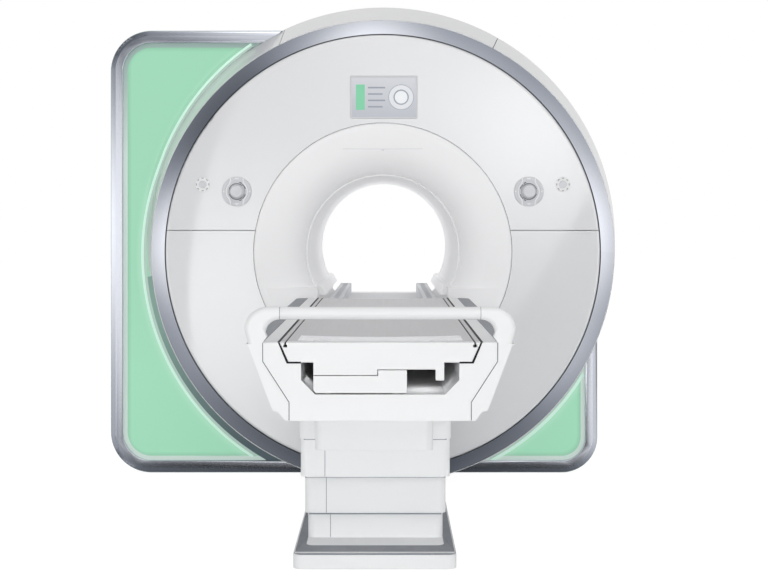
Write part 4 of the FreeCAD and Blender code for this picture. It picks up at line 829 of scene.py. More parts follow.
def rounded_plate(tree, given):
    """A flat plate with rounded corners, lying in XY and rising along Z."""
    outline = grow(tree, "CurvePrimitiveQuadrilateral", {"Width": given["Length"], "Height": given["Width"]})
    values = {"Curve": outline, "Radius": given["Corner"], "Count": 5}
    rounded = grow(tree, "FilletCurve", values, mode="POLY")
    face = grow(tree, "FillCurve", {"Curve": rounded}, mode="NGONS")
    values = {"Mesh": face, "Offset Scale": given["Height"], "Individual": False}
    joined = tree.nodes.new("GeometryNodeJoinGeometry")
    for part in (grow(tree, "ExtrudeMesh", values), grow(tree, "FlipFaces", {0: face})):
        tree.links.new(part.socket, joined.inputs[0])
    return grow(tree, "MergeByDistance", {0: Reading(joined.outputs[0]), "Distance": 1e-6})


PLATE = {
    "Count": 8, "Length": 0.01, "Width": 0.005, "Corner": 0.001, "Height": 0.001, "Place": ORIGIN,
    "Material": None,
}


@functools.cache
def plates_round_a_ring():
    """Rounded plates round a ring that faces the front, their long sides along it."""
    tree, given = new_group("Plates Round a Ring", {**PLATE, "Radius": 0.03}, "GeometryNodeTree")
    points = grow(tree, "MeshCircle", {"Vertices": given["Count"], "Radius": given["Radius"]})
    outward = Reading(tree.nodes.new("GeometryNodeInputPosition").outputs[0])
    turned = first(
        tree, "FunctionNodeAlignRotationToVector", {"Vector": outward}, axis="Y", pivot_axis="Z"
    )
    upright = (math.radians(90), 0, 0)
    return finish_tree(tree, given, points, rounded_plate(tree, given), upright, Rotation=turned)


@functools.cache
def plates_in_a_row():
    """Rounded plates in a row along Y, facing up."""
    tree, given = new_group("Plates in a Row", {**PLATE, "Pitch": 0.05}, "GeometryNodeTree")
    step = first(tree, "ShaderNodeCombineXYZ", {"Y": given["Pitch"]})
    points = grow(tree, "MeshLine", {"Count": given["Count"], "Offset": step})
    return finish_tree(tree, given, points, rounded_plate(tree, given), ORIGIN)


@functools.cache
def screws_round_a_ring():
    """Low screw heads with a sloped rim and a round socket, round a ring that faces the back."""
    tree, given = new_group("Screws Round a Ring", {
        "Count": 12, "Radius": 0.1, "Head": 0.006, "Height": 0.003, "Place": ORIGIN, "Material": None,
    }, "GeometryNodeTree")
    points = grow(tree, "MeshCircle", {"Vertices": given["Count"], "Radius": given["Radius"]})
    rim, socket = given["Head"] * 0.8, given["Head"] * 0.4
    head = readings(add(tree, "GeometryNodeMeshCone", {
        "Vertices": 24, "Radius Top": rim, "Radius Bottom": given["Head"], "Depth": given["Height"],
    }))
    values = {"Mesh": head["Mesh"], "Selection": head["Top"], "Offset Scale": 0.0}
    inset = readings(add(tree, "GeometryNodeExtrudeMesh", values))
    values = {"Geometry": inset["Mesh"], "Selection": inset["Top"], "Scale": socket / rim}
    narrowed = grow(tree, "ScaleElements", values)
    values = {"Mesh": narrowed, "Selection": inset["Top"], "Offset Scale": given["Height"] * -0.7}
    sunk = grow(tree, "ExtrudeMesh", values)
    return finish_tree(tree, given, points, sunk, (math.radians(-90), 0, 0))


def grown(name, tree, values, finish, on):
    """A piece made by a geometry tree, as a plain mesh."""
    holder = bpy.data.objects.new(f"{name}_nodes", bpy.data.meshes.new(f"{name}_nodes"))
    bpy.context.scene.collection.objects.link(holder)
    modifier = holder.modifiers.new("grow", "NODES")
    modifier.node_group = tree
    values = {**values, "Material": FINISHES[finish]}
    for item in tree.interface.items_tree:
        if item.in_out == "INPUT" and item.name in values:
            modifier[item.identifier] = values[item.name]
    holder.update_tag()
    made = bpy.data.meshes.new_from_object(holder.evaluated_get(bpy.context.evaluated_depsgraph_get()))
    bpy.data.objects.remove(holder)
    bm = bmesh.new()
    bm.from_mesh(made)
    if not bm.faces:
        raise RuntimeError(f"{name} grew nothing")
    return piece(name, mesh_from(bm, name), finish, on)


# Operators, one for each group of pieces.
class ScannerOperator:
    """What the scanner's operators share."""

    bl_options = {"REGISTER"}

    def execute(self, context):
        if not FINISHES:
            FINISHES.update(make_finishes(context.scene.scanner_finish))
        self.make(context.scene.scanner_sizes)
        return {"FINISHED"}


class SCANNER_OT_covers(ScannerOperator, bpy.types.Operator):
    """Front covers, body shell, housing and rear cover"""

    bl_idname = "scanner.covers"
    bl_label = "Covers"

    def make(self, sizes):
        show("cover", "upper_front_cover", "lower_front_cover")
        show("shell", "top_shell", "left_shell", "right_shell")
        show("housing", "back_housing")
        self.rear(sizes)

    def rear(self, sizes):
        """Rear cover, its screws let in round the funnel."""
        back = high("rear_cover").y
        outset, head, height, gap = 0.05, 0.011, 0.004, 0.0015
        radius = high("rear_bore_cover").x + outset
        pockets = []
        for screw in range(sizes.screws):
            centre = on_circle((0, AXIS), radius, math.tau * screw / sizes.screws)
            pockets.append(("XZ", disc(centre, head + gap), back - height - 4 * HAIR, back + 0.001))
        softened("rear_cover", "housing", sizes.edge, pockets)
        grown("rear_screws", screws_round_a_ring(), {
            "Count": sizes.screws, "Radius": radius, "Head": head, "Height": height,
            "Place": (0, back - height - 2 * HAIR, AXIS),
        }, "steel", "rear_cover")


class SCANNER_OT_bore(ScannerOperator, bpy.types.Operator):
    """Bore liner, funnels, ledges and slotted rails"""

    bl_idname = "scanner.bore"
    bl_label = "Bore"

    def make(self, sizes):
        show("liner", "bore_liner")
        show("bore", "bore_front_cover", "rear_bore_cover", "left_bore_ledge", "right_bore_ledge")
        for side, _ in SIDES:
            softened(f"{side}_bore_rail", "rail", sizes.edge)
            self.fill_slots(f"{side}_bore_rail", sizes.slot_pitch)
        self.crease()

    def fill_slots(self, rail, pitch):
        """Dark pads in the floors of a rail's slots, painted shade of the slots."""
        near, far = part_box(rail)
        slot_depth = 0.006
        place = ((near.x + far.x) / 2, near.y + pitch, far.z - slot_depth)
        grown(f"{rail}_pads", plates_in_a_row(), {
            "Count": int((far.y - near.y - pitch * 2) / pitch) + 1, "Pitch": pitch, "Length": 0.0252,
            "Width": 0.0332, "Corner": 0.002, "Height": 0.0015, "Place": place,
        }, "dark", rail)

    def crease(self):
        """Faint grey tape across the funnel above the bore, notched in the middle: painted shade of a level
        crease.
        """
        funnel = "bore_front_cover"
        level, half, width, steps, lift = AXIS + 0.466, 0.18, 0.0018, 24, 3 * HAIR
        across = [half * (2 * step / steps - 1) for step in range(steps + 1)]
        points = [(x, front_of(funnel, x, level) - lift, level) for x in across]
        tape("funnel_crease", points, width, lift * 2, "crease", funnel)
        drop, notch = level - 0.004, 0.006
        y = front_of(funnel, 0, drop) - lift
        tape("funnel_notch", [(-notch, y, drop), (notch, y, drop)], notch, lift * 2, "crease", funnel)


class SCANNER_OT_silver(ScannerOperator, bpy.types.Operator):
    """Silver trim ring and side frames, with a satin reveal round each panel"""

    bl_idname = "scanner.silver"
    bl_label = "Silver trim"

    def make(self, sizes):
        show("silver", "trim_ring")
        for side, _ in SIDES:
            self.framed(f"{side}_frame", sizes.frame_round)

    def framed(self, node, share):
        """A side frame whose inner edge keeps a share of its rounding, and a satin band on its lip."""
        bm = node_bmesh(node)
        bm.normal_update()
        flats = sorted({round(face.calc_center_median().y, 5) for face in bm.faces if face.normal.y < -0.999})
        front, lip = flats[:2]
        flat, wall = lip - 0.0005, front + (lip - front) * 0.5
        feet = set()
        for edge in bm.edges:
            for one, other in (edge.verts, reversed(edge.verts)):
                if abs(one.co.y - lip) < 1e-5 and wall < other.co.y < flat:
                    feet.add(one.co.to_tuple())
        for vert in bm.verts:
            if vert.co.y > flat:
                continue
            away, foot = min(((Vector(foot) - vert.co).xz.length, foot) for foot in feet)
            if away < lip - front:
                vert.co.x = foot[0] + (vert.co.x - foot[0]) * share
                vert.co.z = foot[2] + (vert.co.z - foot[2]) * share
                vert.co.y = front + (vert.co.y - front) * share
        self.reveal(node, bm, lip)
        name = f"{node}_skin"
        piece(name, mesh_from(bm, name), "silver", node, (node,))

    def reveal(self, node, bm, lip):
        """A satin band over a frame's lip."""
        lift, thickness = 4 * HAIR, 3 * HAIR
        band = bmesh.new()
        for face in bm.faces:
            if face.normal.y < -0.999 and abs(face.calc_center_median().y - lip) < 1e-4:
                corners = [band.verts.new(corner.co - Vector((0, lift, 0))) for corner in face.verts]
                band.faces.new(corners)
        bmesh.ops.remove_doubles(band, verts=band.verts, dist=1e-6)
        for part in bmesh.ops.extrude_face_region(band, geom=band.faces[:])["geom"]:
            if isinstance(part, bmesh.types.BMVert):
                part.co.y += thickness
        settle(band)
        name = f"{node}_reveal"
        piece(name, mesh_from(band, name), "reveal", node)


class SCANNER_OT_panels(ScannerOperator, bpy.types.Operator):
    """Mint side panels and the bands along their rims: a painted highlight, a pale band and a painted shadow
    """

    bl_idname = "scanner.panels"
    bl_label = "Side panels"

    def make(self, sizes):
        show("mint", "left_panel", "right_panel")
        left_rims, right_rims = (UPPER_RIM, LEFT_RIM), (RIGHT_RIM,)
        for side, finish, inner, outer, start, end, rims in (
            ("left", "rim_edge", 0.01, 0, 124, 239, left_rims),
            ("left", "rim_band", 0.024, 0.0102, 124, 239.5, left_rims),
            ("left", "rim_shade", 0.06, 0.0242, 189, 246, left_rims),
            ("right", "rim_edge", 0.013, 0, -64, -34, right_rims),
            ("right", "rim_band", 0.03, 0.0132, -64, -34, right_rims),
        ):
            self.band(side, finish, inner, outer, start, end, rims)

    def rim_radius(self, turn, rims):
        """Radius of the outermost rim from the shell's axis, at an angle in radians."""
        reaches = []
        for level, radius in rims:
            drop = (level - SHELL_AXIS) * math.sin(turn)
            reaches.append(drop + math.sqrt(radius ** 2 - ((level - SHELL_AXIS) * math.cos(turn)) ** 2))
        return max(reaches)

    def band(self, side, finish, inner, outer, start, end, rims):
        """A flat band inside a panel's rim, from one inset to another, clear of the shell."""
        steps, clearance, thickness = 72, 0.0008, 0.0016
        turns = [math.radians(start + (end - start) * step / steps) for step in range(steps + 1)]
        outline = []
        for inset, order in ((outer, turns), (inner, turns[::-1])):
            for turn in order:
                radius = max(self.rim_radius(turn, rims) - inset, SHELL_RADIUS + clearance)
                outline.append(on_circle((0, SHELL_AXIS), radius, turn))
        front = PANEL_FRONT - 2 * HAIR
        flat_piece(f"{side}_{finish}", outline, front - thickness, front, finish, f"{side}_panel")


class SCANNER_OT_display(ScannerOperator, bpy.types.Operator):
    """Display in the upper cover"""

    bl_idname = "scanner.display"
    bl_label = "Display"

    def make(self, sizes):
        show("bezel", "display_bezel")
        show("screen", "display_glass")


class SCANNER_OT_controls(ScannerOperator, bpy.types.Operator):
    """Dials, keys and small buttons on both sides"""

    bl_idname = "scanner.controls"
    bl_label = "Controls"

    def make(self, sizes):
        for side, sign in SIDES:
            show("ring", f"{side}_control_ring")
            show("mark", f"{side}_small_ring")
            show("dial", f"{side}_control_dial", f"{side}_small_button")
            show("key", *(f"{side}_control_{key}_key" for key in ("upper", "lower", "left", "right")))
            self.stripes(side)
            self.key_marks(side)
            self.dark_arcs(side, sign)
            self.dashes(side, sizes.dashes)

    def stripes(self, side):
        """Two white stripes that curve round the dial, between the keys."""
        ring = f"{side}_control_ring"
        x, z = middle(ring)
        y = low(ring).y - 4 * HAIR
        bend, width, thickness, edge = 0.0475, 0.0058, 0.0016, 0.0004
        end = [(0.029, 0.0605), (0.0286, 0.053), (0.0292, 0.0455), (0.0318, 0.0385)]
        path = end + [on_circle((0, 0), bend, math.radians(40 - 5 * step)) for step in range(17)]
        path += [(across, -up) for across, up in end[::-1]]
        for name, way in (("outer", -1), ("inner", 1)):
            points = [(x + way * across, y, z + up) for across, up in path]
            strip = tape(f"{side}_{name}_stripe", points, width, thickness, "mark", ring)
            soften(strip, edge, angle=60)

    def key_marks(self, side):
        """Raised white marks on the four keys."""
        x, z = middle(f"{side}_control_ring")
        shapes = {
            "upper": [(-0.0095, 0.0625), (0.0095, 0.0625), (0.0075, 0.0555), (-0.0075, 0.0555)],
            "lower": [(-0.011, -0.0535), (0.011, -0.0535), (0, -0.0605)],
            "left": disc((-0.0585, 0), 0.003, 20),
            "right": disc((0.0585, 0), 0.003, 20),
        }
        for key, outline in shapes.items():
            node = f"{side}_control_{key}_key"
            y = low(node).y
            outline = [(x + across, z + up) for across, up in outline]
            flat_piece(f"{side}_{key}_mark", outline, y - 4 * HAIR, y + 2 * HAIR, "mark", node)

    def dark_arcs(self, side, sign):
        """Dark flat marks round the dial, by their distance from it and their angles from the bore: the
        grooves are painted shade, the brackets and ticks dark marks.
        """
        ring, dial = f"{side}_control_ring", f"{side}_control_dial"
        centre = middle(ring)
        front = front_of(ring, centre[0], centre[1] + 0.0395)
        bore = 0 if sign < 0 else 180
        radius = (high(dial).x - low(dial).x) / 2
        for name, inner, outer, start, end in (
            ("upper_groove", 0.0008, 0.0034, 48, 162), ("lower_groove", 0.0008, 0.0034, 198, 312),
            ("upper_bracket", 0.0050, 0.0084, 18, 52), ("lower_bracket", 0.0050, 0.0084, -52, -18),
            ("upper_tick", 0.0066, 0.0106, 58, 74), ("lower_tick", 0.0066, 0.0106, -74, -58),
        ):
            outline = arc_band(centre, radius + inner, radius + outer, bore + start, bore + end)
            flat_piece(f"{side}_{name}", outline, front - 3 * HAIR, front + 2 * HAIR, "dark", ring)

    def dashes(self, side, count):
        """Grey inserts in the pockets round a small button."""
        ring = f"{side}_small_ring"
        x, z = middle(ring)
        grown(f"{side}_small_dashes", plates_round_a_ring(), {
            "Count": count, "Radius": 0.028, "Length": 0.0102, "Width": 0.0043, "Corner": 0.0014,
            "Height": 0.0012, "Place": (x, low(ring).y + 0.0015, z),
        }, "dash", ring)


class SCANNER_OT_table(ScannerOperator, bpy.types.Operator):
    """Table frame, moving tabletop, end cap, cable box, side covers and handle"""

    bl_idname = "scanner.table"
    bl_label = "Patient table"

    def make(self, sizes):
        for node in ("cable_box", "drive_housing", "handle_bar"):
            softened(node, "table", sizes.edge)
        joint = self.joint_line()
        grooves = [self.groove(joint, sign, sizes) for _, sign in SIDES]
        softened("table_frame", "table", sizes.edge, grooves)
        softened("tabletop_board", "laminate", sizes.edge)
        for (side, _), groove in zip(SIDES, grooves):
            softened(f"{side}_side_cover", "table", sizes.edge, [groove])
            softened(f"{side}_side_ledge", "tray", sizes.edge)
        self.cap(sizes)
        self.seams(joint, sizes)
        self.handle_joints()
        self.long_strips()
        self.foot_lining()

    def end_face(self, node):
        """Corners of a node's largest flat face towards the foot end, as (x, z)."""
        bm = node_bmesh(node)
        faces = [face for face in bm.faces if face.normal.y < -0.99]
        largest = max(faces, key=lambda face: face.calc_area())
        corners = [(corner.co.x, corner.co.z) for corner in largest.verts]
        bm.free()
        return corners

    def frame_wall(self):
        """The frame's inner wall at the foot: mouth, foot of its slope and end of its ledge."""
        top = high("table_frame").z
        near_top, lip = top - 0.0005, top - 0.03
        right = sorted((x, z) for x, z in self.end_face("table_frame") if x > 0)
        mouth = min(corner for corner in right if corner[1] > near_top)
        level = max(z for x, z in right if z < lip and x < mouth[0])
        ledge = sorted(corner for corner in right if abs(corner[1] - level) < 0.0005)
        return mouth, ledge[-1], ledge[0]

    def seal_outline(self, sign, seal, top, lip):
        """Section of the seal along the frame's inner wall, drawn in all round by a lip."""
        mouth, foot, end = self.frame_wall()
        low_side, high_side = foot[1] + lip, foot[1] + seal - lip
        corners = [
            (mouth[0] - lip, top), (mouth[0] - seal + lip, top), (foot[0] - seal + lip, high_side),
            (end[0] + lip, high_side), (end[0] + lip, low_side), (foot[0] - lip, low_side),
        ]
        return [(sign * x, z) for x, z in corners]

    def cap(self, sizes):
        """End cap with a rubber seal let into its slanted sides and wings."""
        near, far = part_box("end_cap")
        depth, lip = 0.003, 2 * HAIR
        rebates = []
        for side, sign in SIDES:
            rebate = self.seal_outline(sign, sizes.seal, far.z + 0.001, 0)
            rebates.append(("XZ", rebate, near.y - 0.001, near.y + depth))
            seal = self.seal_outline(sign, sizes.seal, far.z - lip, lip)
            flat_piece(f"{side}_cap_seal", seal, near.y + 2 * lip, near.y + depth - lip, "gasket", "end_cap")
        softened("end_cap", "table", sizes.edge, rebates)

    def joint_line(self):
        """Where the right side cover meets the frame's end, from the top down, as (x, z)."""
        cover, end = (
            {(round(abs(x), 4), round(z, 4)) for x, z in self.end_face(node)}
            for node in ("right_side_cover", "table_frame")
        )
        line = sorted(cover & end, key=lambda corner: (-corner[1], -corner[0]))
        top = high("table_frame").z
        if line[0][1] < top - 0.001:
            line.insert(0, (line[0][0], top))
        return line

    def ribbon(self, line, sign, half, longer):
        """Outline of a ribbon along a line, made longer at both ends."""
        points = [Vector((sign * x, 0, z)) for x, z in line]
        points[0] += (points[0] - points[1]).normalized() * longer
        points[-1] += (points[-1] - points[-2]).normalized() * longer
        across = [crossways(points, index) * half for index in range(len(points))]
        one_side = [tuple((here + away).xz) for here, away in zip(points, across)]
        other_side = [tuple((here - away).xz) for here, away in zip(points, across)]
        return one_side + other_side[::-1]

    def groove(self, joint, sign, sizes):
        """Cutter along the joint of the frame and a side cover."""
        front = low("table_frame").y
        return "XZ", self.ribbon(joint, sign, sizes.groove / 2, 0.002), front - 0.001, front + 0.002

    def seams(self, joint, sizes):
        """Dark inserts in the joint of the frame and the side covers: painted shadow in the groove."""
        front = low("table_frame").y
        for side, sign in SIDES:
            outline = self.ribbon(joint, sign, sizes.groove / 2 - HAIR, -0.0015)
            name = f"{side}_frame_joint"
            flat_piece(name, outline, front + 0.0005, front + 0.0019, "joint", "table_frame")

    def handle_joints(self):
        """Dark rings where the handle's bar meets its arms."""
        near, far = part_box("handle_bar")
        radius, width, outset = (far.z - near.z) / 2 - HAIR, 0.0024, 0.00015
        for side, sign in SIDES:
            bm = bmesh.new()
            centre = Vector((sign * (far.x + outset), (near.y + far.y) / 2, (near.z + far.z) / 2))
            bmesh.ops.create_cone(
                bm, cap_ends=True, segments=48, radius1=radius, radius2=radius, depth=width,
                matrix=Matrix.Translation(centre) @ Matrix.Rotation(math.radians(90), 4, "Y"),
            )
            name = f"{side}_handle_joint"
            piece(name, mesh_from(bm, name), "dark", "handle_bar")

    def foot_lining(self):
        """White lining of the tabletop's foot recess, over its floor, walls, plate and sockets, with a
        painted glow.
        """
        near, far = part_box("tabletop_board")
        half, start, end, depth, thickness = 0.241, near.y + 0.029, near.y + 0.201, 0.012, 0.0005
        bm = node_bmesh("tabletop_board")
        lining = bmesh.new()
        for face in bm.faces:
            inside = all(
                abs(corner.co.x) < half and start < corner.co.y < end and far.z - depth < corner.co.z
                for corner in face.verts
            )
            if inside and face.normal.z > -0.1:
                lining.faces.new([lining.verts.new(corner.co + face.normal * HAIR) for corner in face.verts])
        bm.free()
        bmesh.ops.remove_doubles(lining, verts=lining.verts, dist=0.0003)
        mesh = bpy.data.meshes.new("foot_lining")
        lining.to_mesh(mesh)
        lining.free()
        solid = piece("foot_lining", mesh, "plate", "tabletop_board").modifiers.new("solid", "SOLIDIFY")
        solid.thickness = thickness
        solid.offset = 1.0

    def long_strips(self):
        """Rubber along the tabletop's edges, and dark runners in its grooves."""
        near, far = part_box("table_frame")
        mouth = self.frame_wall()[0]
        board, half, inset = high("tabletop_board").x, 0.0022, 0.004
        rubber = (board - 0.0026, mouth[0] + 0.0018)
        corners = self.end_face("end_cap")
        groove = min(x for x, z in corners if x > board - 0.025 and z > far.z - 0.0005) + 0.0025
        for side, sign in SIDES:
            for name, edges, start, up, on in (
                ("edge_rubber", rubber, inset, (far.z + HAIR, far.z + 0.0009), "table_frame"),
                (
                    "groove_runner", (groove - half, groove + half), inset - 0.001,
                    (far.z - 0.006, far.z - 0.0006), "tabletop_board",
                ),
            ):
                across = sorted(sign * edge for edge in edges)
                bar(f"{side}_{name}", across, (near.y + start, far.y - inset), up, "gasket", on)


class SCANNER_OT_column(ScannerOperator, bpy.types.Operator):
    """Telescopic column, plinth and tray"""

    bl_idname = "scanner.column"
    bl_label = "Column and plinth"

    def make(self, sizes):
        softened("column_upper", "shroud", sizes.edge)
        for above, below in (("upper", "middle"), ("middle", "lower"), ("lower", "foot")):
            self.seamed(f"column_{below}", sizes)
            self.wiper(f"column_{above}", f"column_{below}")
        softened("table_plinth", "shroud", sizes.edge * 2)
        softened("plinth_tray", "tray", sizes.edge, self.mitres())
        self.tray_border()
        show("steel", "lift_cylinder", "lift_sleeve", "lift_rod")

    def seamed(self, node, sizes):
        """A shroud with an upright seam in its front sheet, a grey insert behind it that paints the seam's
        shadow.
        """
        near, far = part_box(node)
        seam = near.x + sizes.seam_across
        front = front_of(node, seam, (near.z + far.z) / 2)
        half, depth, past, short = sizes.groove / 2, 0.0012, 0.001, 0.002
        across, along = (seam - half, seam + half), (near.y - past, front + depth)
        softened(node, "shroud", sizes.edge, [box(across, along, (near.z - past, far.z + past))])
        across = (seam - half + HAIR, seam + half - HAIR)
        along, up = (front + 3 * HAIR, front + depth - HAIR), (near.z + short, far.z - short)
        bar(f"{node}_joint", across, along, up, "seam", node)

    def wiper(self, node, inside):
        """Grey lip under a shroud's front that wipes the shroud inside it; its grey also paints the shadow
        under the step.
        """
        near = low(node)
        inner_near, inner_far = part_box(inside)
        margin, inset, drop, rise = 0.012, 0.0006, 0.0024, 0.001
        across = (inner_near.x + margin, inner_far.x - margin)
        along, up = (near.y + inset, inner_near.y - 2 * HAIR), (near.z - drop, near.z + rise)
        bar(f"{node}_wiper", across, along, up, "seam", node)

    def tray_border(self):
        """Pale edge trim on the front and sides of the plinth's tray."""
        near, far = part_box("plinth_tray")
        margin, width, side_width = 0.001, 0.018, 0.004
        up = (far.z + HAIR, far.z + 0.0011)
        front, sides = (near.y + margin, near.y + margin + width), (near.y + 0.0195, far.y - 0.01)
        for name, across, along in (
            ("front", (near.x + side_width, far.x - side_width), front),
            ("left", (near.x + margin, near.x + margin + side_width), sides),
            ("right", (far.x - margin - side_width, far.x - margin), sides),
        ):
            bar(f"tray_{name}_trim", across, along, up, "housing", "plinth_tray")

    def mitres(self):
        """Fine cuts across the tray's front corners."""
        near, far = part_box("plinth_tray")
        foot_low, foot_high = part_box("column_foot")
        half, depth = 0.0008, 0.0012
        cuts = []
        for outer, inner in ((near.x, foot_low.x), (far.x, foot_high.x)):
            outline = [
                (outer - half, near.y), (outer + half, near.y), (inner + half, foot_low.y),
                (inner - half, foot_low.y),
            ]
            cuts.append(("XY", outline, far.z - depth, far.z + 0.001))
        return cuts


class SCANNER_OT_magnet(ScannerOperator, bpy.types.Operator):
    """Magnet vessel, coils and skids inside the covers"""

    bl_idname = "scanner.magnet"
    bl_label = "Magnet"

    def make(self, sizes):
        show("vessel", "magnet_vessel")
        show("feet", "magnet_feet")
        show("resin", "gradient_coil", "body_coil")


class SCANNER_OT_stage(ScannerOperator, bpy.types.Operator):
    """Floor, light and camera"""

    bl_idname = "scanner.stage"
    bl_label = "Stage"

    def make(self, sizes):
        make_floor()
        make_world()
        make_reflections()
        make_lamps()
        make_camera()


PIECES = (
    SCANNER_OT_covers, SCANNER_OT_bore, SCANNER_OT_silver, SCANNER_OT_panels, SCANNER_OT_display,
    SCANNER_OT_controls, SCANNER_OT_table, SCANNER_OT_column, SCANNER_OT_magnet, SCANNER_OT_stage,
)


# Studio.
AMBIENT = 0.57
# Softboxes round the bore's axis: angle in degrees, width and strength.
TENT_LIGHTS = (
    (94, 16, 1.35), (178, 15, 1.35), (206, 18, 0.35), (6, 20, 1.45), (64, 16, 0.45), (38, 16, 0.45),
    (-30, 16, 0.6), (116, 10, 0.15),
)
# The card at the tent's end: its level, its plain strength, and its softboxes' place, radius and strength.
CARD_LEVEL, CARD_BASE = 0.905, 0.75
CARD_LIGHTS = (((-1.5, 0.4), 1.2, 2.0), ((1.5, 2.1), 0.9, 2.3), ((0.2, 2.9), 0.9, 0.7))
# Lamps: name, place, aim, size, power and spread in degrees.
LAMPS = (
    ("softbox_above", (0, -3.5, 5.5), (0, -1, 1), (6, 4), 28, 180),
    ("softbox_left", (-6, -5, 1.2), (0, -0.9, 0.8), (3, 3), 32, 180),
    ("softbox_right", (6, -4.5, 1.2), (0, -0.9, 0.8), (3, 3), 30, 180),
    ("softbox_camera", (0, -7.2, 0.6), (0, -0.9, 0.6), (1.8, 0.8), 64, 180),
    ("softbox_column", (0, -6.0, 0.22), (0, -2.1, 0.2), (0.9, 0.15), 0.22, 20),
    ("softbox_table", (0, -2.1, 1.35), (0, 0, 1.05), (0.5, 0.3), 0.8, 180),
    ("softbox_rear", (0, 6.5, 2.2), (0, 0.9, 1.1), (4, 3), 55, 180),
    ("softbox_bore", (0, 0.7, 1.12), (0, -0.8, 1.12), (0.3, 0.3), 0.55, 180),
    ("pocket_right", (0.13, -2.96, 0.755), (0.13, -2.96, 0), (0.08, 0.12), 0.06, 180),
    ("pocket_left", (-0.207, -2.96, 0.745), (-0.207, -2.96, 0), (0.02, 0.12), 0.008, 180),
)


def stage_mesh(name, bm, material):
    """An object of the studio, no part of the scanner."""
    mesh = bpy.data.meshes.new(name)
    bm.to_mesh(mesh)
    bm.free()
    mesh.materials.append(material)
    obj = bpy.data.objects.new(name, mesh)
    bpy.context.scene.collection.objects.link(obj)
    return obj


def make_floor():
    """Plain pale floor, white to the camera, that keeps the scanner's shadow."""
    material = bpy.data.materials.new("floor_white")
    tree = bare_tree(material)
    matt = first(tree, "ShaderNodeBsdfDiffuse", {"Color": (0.8, 0.8, 0.8)})
    white = first(tree, "ShaderNodeEmission", {"Color": (1, 1, 1), "Strength": 1.17})
    share = readings(tree.nodes.new("ShaderNodeLightPath"))["Is Camera Ray"] * 0.82
    blended = first(tree, "ShaderNodeMixShader", {0: share, 1: matt, 2: white})
    add(tree, "ShaderNodeOutputMaterial", {"Surface": blended})
    bm = bmesh.new()
    bmesh.ops.create_grid(bm, x_segments=1, y_segments=1, size=30)
    stage_mesh("floor", bm, material).visible_glossy = False


def make_world():
    """White behind the scanner for the camera, softer for its light."""
    world = bpy.data.worlds.new("studio")
    tree = bare_tree(world)
    ray = readings(tree.nodes.new("ShaderNodeLightPath"))
    seen = through("MAXIMUM", ray["Is Camera Ray"], ray["Is Glossy Ray"], ray["Is Transmission Ray"])
    values = {"Color": (1, 1, 1), "Strength": spread(seen, 0.0, 1.0, AMBIENT, 1.0)}
    add(tree, "ShaderNodeOutputWorld", {"Surface": first(tree, "ShaderNodeBackground", values)})
    bpy.context.scene.world = world


def reflected(name, bm, strength_at):
    """A glowing surface that only reflections see, its strength worked out from its place."""
    material = bpy.data.materials.new(name)
    tree = bare_tree(material)
    strength = strength_at(*parts(readings(tree.nodes.new("ShaderNodeTexCoord"))["Object"]))
    tone = mix(spread(strength, 0.1, 1.0), (0.86, 0.93, 1.04), (1.0, 1.0, 1.0))
    glow = first(tree, "ShaderNodeEmission", {"Color": tone, "Strength": strength})
    add(tree, "ShaderNodeOutputMaterial", {"Surface": glow})
    obj = stage_mesh(name, bm, material)
    obj.visible_camera = obj.visible_diffuse = obj.visible_transmission = obj.visible_shadow = False


def lobe(angle, peak, width, height):
    """A soft rise about an angle; all in degrees."""
    away = (angle - peak) / width
    return work("EXPONENT", away * away * -1.0) * height


def blob(x, z, place, radius, height):
    """A soft round rise about a place on the card."""
    dx, dz = x - place[0], z - place[1]
    return work("EXPONENT", (dx * dx + dz * dz) / (-radius * radius)) * height


def turn_from_right(x, z, level):
    """Angle about a level on the bore's axis, -90 to 270 degrees, 0 to the right and 90 above."""
    return work("WRAP", work("DEGREES", work("ARCTAN2", z - level, x)), 270.0, -90.0)


def tent_strength(x, y, z):
    """Softboxes along the length of the tent, by their angle round its axis."""
    angle = turn_from_right(x, z, AXIS)
    softboxes = through("ADD", *(lobe(angle, *light) for light in TENT_LIGHTS))
    below = work("MAXIMUM", lobe(angle, -90, 18, 0.7), lobe(angle, 270, 18, 0.7))
    start, end = FRONT - 3.5, FRONT + 0.6
    return softboxes * spread(y, start, end, 1.1, 0.6) + spread(y, start, end, 0.16, 0.24) * (1.0 - below)


def card_rim(x, z):
    """Softboxes round the card's rim, mirrored by the flat frames."""
    angle = turn_from_right(x, z, CARD_LEVEL)
    left = spread(angle, 141, 149) * spread(angle, 214, 221, 1, 0) * lobe(angle, 178, 50, 1.4)
    above = spread(angle, 140, 119) * spread(angle, 40, 60)
    right = spread(angle, -47, -41) * spread(angle, 20, 40, 1, 0)
    return left + above + right * 1.25 + 0.03


def card_strength(x, y, z):
    """A card with softboxes and a dark flag down each side, and the rim's softboxes round it."""
    bright = through("ADD", *(blob(x, z, *light) for light in CARD_LIGHTS)) + CARD_BASE
    # The flags' inner edges lean, and the left one bends as well.
    left_edge = (z * 0.1264 - 0.1192) * z - 1.8388
    right_edge = z * 0.6 + 1.069
    left, right = spread(left_edge - x, -0.02, 0.02), spread(x - right_edge, -0.05, 0.05)
    lit = bright * spread(work("MAXIMUM", left, right), 0.0, 1.0, 1.0, 0.2)
    outside = spread(reach(x, z - CARD_LEVEL), 2.12, 2.2)
    return lit * (1.0 - outside) + outside * card_rim(x, z)


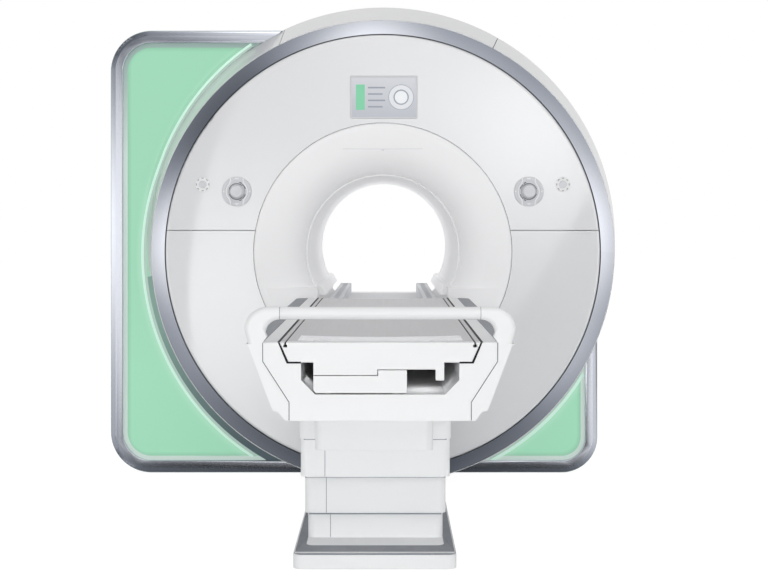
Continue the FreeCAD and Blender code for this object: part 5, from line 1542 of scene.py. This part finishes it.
def make_reflections():
    """What the glossy surfaces mirror: a round tent about the bore's axis and a card at its end."""
    near, far, radius, steps = FRONT - 6.6, 3.0, 4.0, 64
    bm = bmesh.new()
    ends = [[bm.verts.new((x, y, z)) for x, z in disc((0, AXIS), radius, steps)] for y in (near, far)]
    skin_between(bm, *ends)
    reflected("reflected_tent", bm, tent_strength)
    bm = bmesh.new()
    turn = Matrix.Translation((0, near, AXIS)) @ Matrix.Rotation(math.radians(90), 4, "X")
    bmesh.ops.create_grid(bm, x_segments=1, y_segments=1, size=radius, matrix=turn)
    reflected("reflected_card", bm, card_strength)


def make_lamps():
    """Softboxes and small lamps, each turned to its aim and seen in no reflection."""
    for name, place, aim, size, power, cone in LAMPS:
        light = bpy.data.lights.new(name, "AREA")
        light.shape = "RECTANGLE"
        light.size, light.size_y = size
        light.energy = power
        light.spread = math.radians(cone)
        obj = bpy.data.objects.new(name, light)
        obj.location = place
        obj.rotation_euler = (Vector(aim) - Vector(place)).to_track_quat("-Z", "Y").to_euler()
        obj.visible_camera = obj.visible_glossy = False
        bpy.context.scene.collection.objects.link(obj)


def make_camera():
    camera = bpy.data.objects.new("camera", bpy.data.cameras.new("camera"))
    camera.location = (0.02, -6.815, 1.2)
    camera.rotation_euler = (math.radians(90), 0, 0)
    camera.data.sensor_width = 36
    camera.data.lens = 61.875
    camera.data.shift_x = -0.0042
    camera.data.shift_y = -0.0872
    camera.data.clip_end = 100
    bpy.context.scene.collection.objects.link(camera)
    bpy.context.scene.camera = camera
    bpy.context.scene.view_settings.view_transform = "Standard"


# Sidebar and registration.
class SCANNER_PT_panel(bpy.types.Panel):
    """Settings and steps of the scanner"""

    bl_idname = "SCANNER_PT_panel"
    bl_label = "Scanner"
    bl_space_type = "VIEW_3D"
    bl_region_type = "UI"
    bl_category = "Scanner"

    def draw(self, context):
        for settings in (context.scene.scanner_finish, context.scene.scanner_sizes):
            column = self.layout.column()
            for name in settings.__annotations__:
                column.prop(settings, name)
        steps = self.layout.column()
        for operator in PIECES:
            steps.operator(operator.bl_idname)


CLASSES = (ScannerFinish, ScannerSizes, *PIECES, SCANNER_PT_panel)


def register():
    for made in CLASSES:
        bpy.utils.register_class(made)
    bpy.types.Scene.scanner_finish = bpy.props.PointerProperty(type=ScannerFinish)
    bpy.types.Scene.scanner_sizes = bpy.props.PointerProperty(type=ScannerSizes)


def unregister():
    del bpy.types.Scene.scanner_sizes
    del bpy.types.Scene.scanner_finish
    for made in reversed(CLASSES):
        bpy.utils.unregister_class(made)


def main():
    register()
    for operator in PIECES:
        area, name = operator.bl_idname.split(".")
        getattr(getattr(bpy.ops, area), name)()


if __name__ == "__main__":
    main()
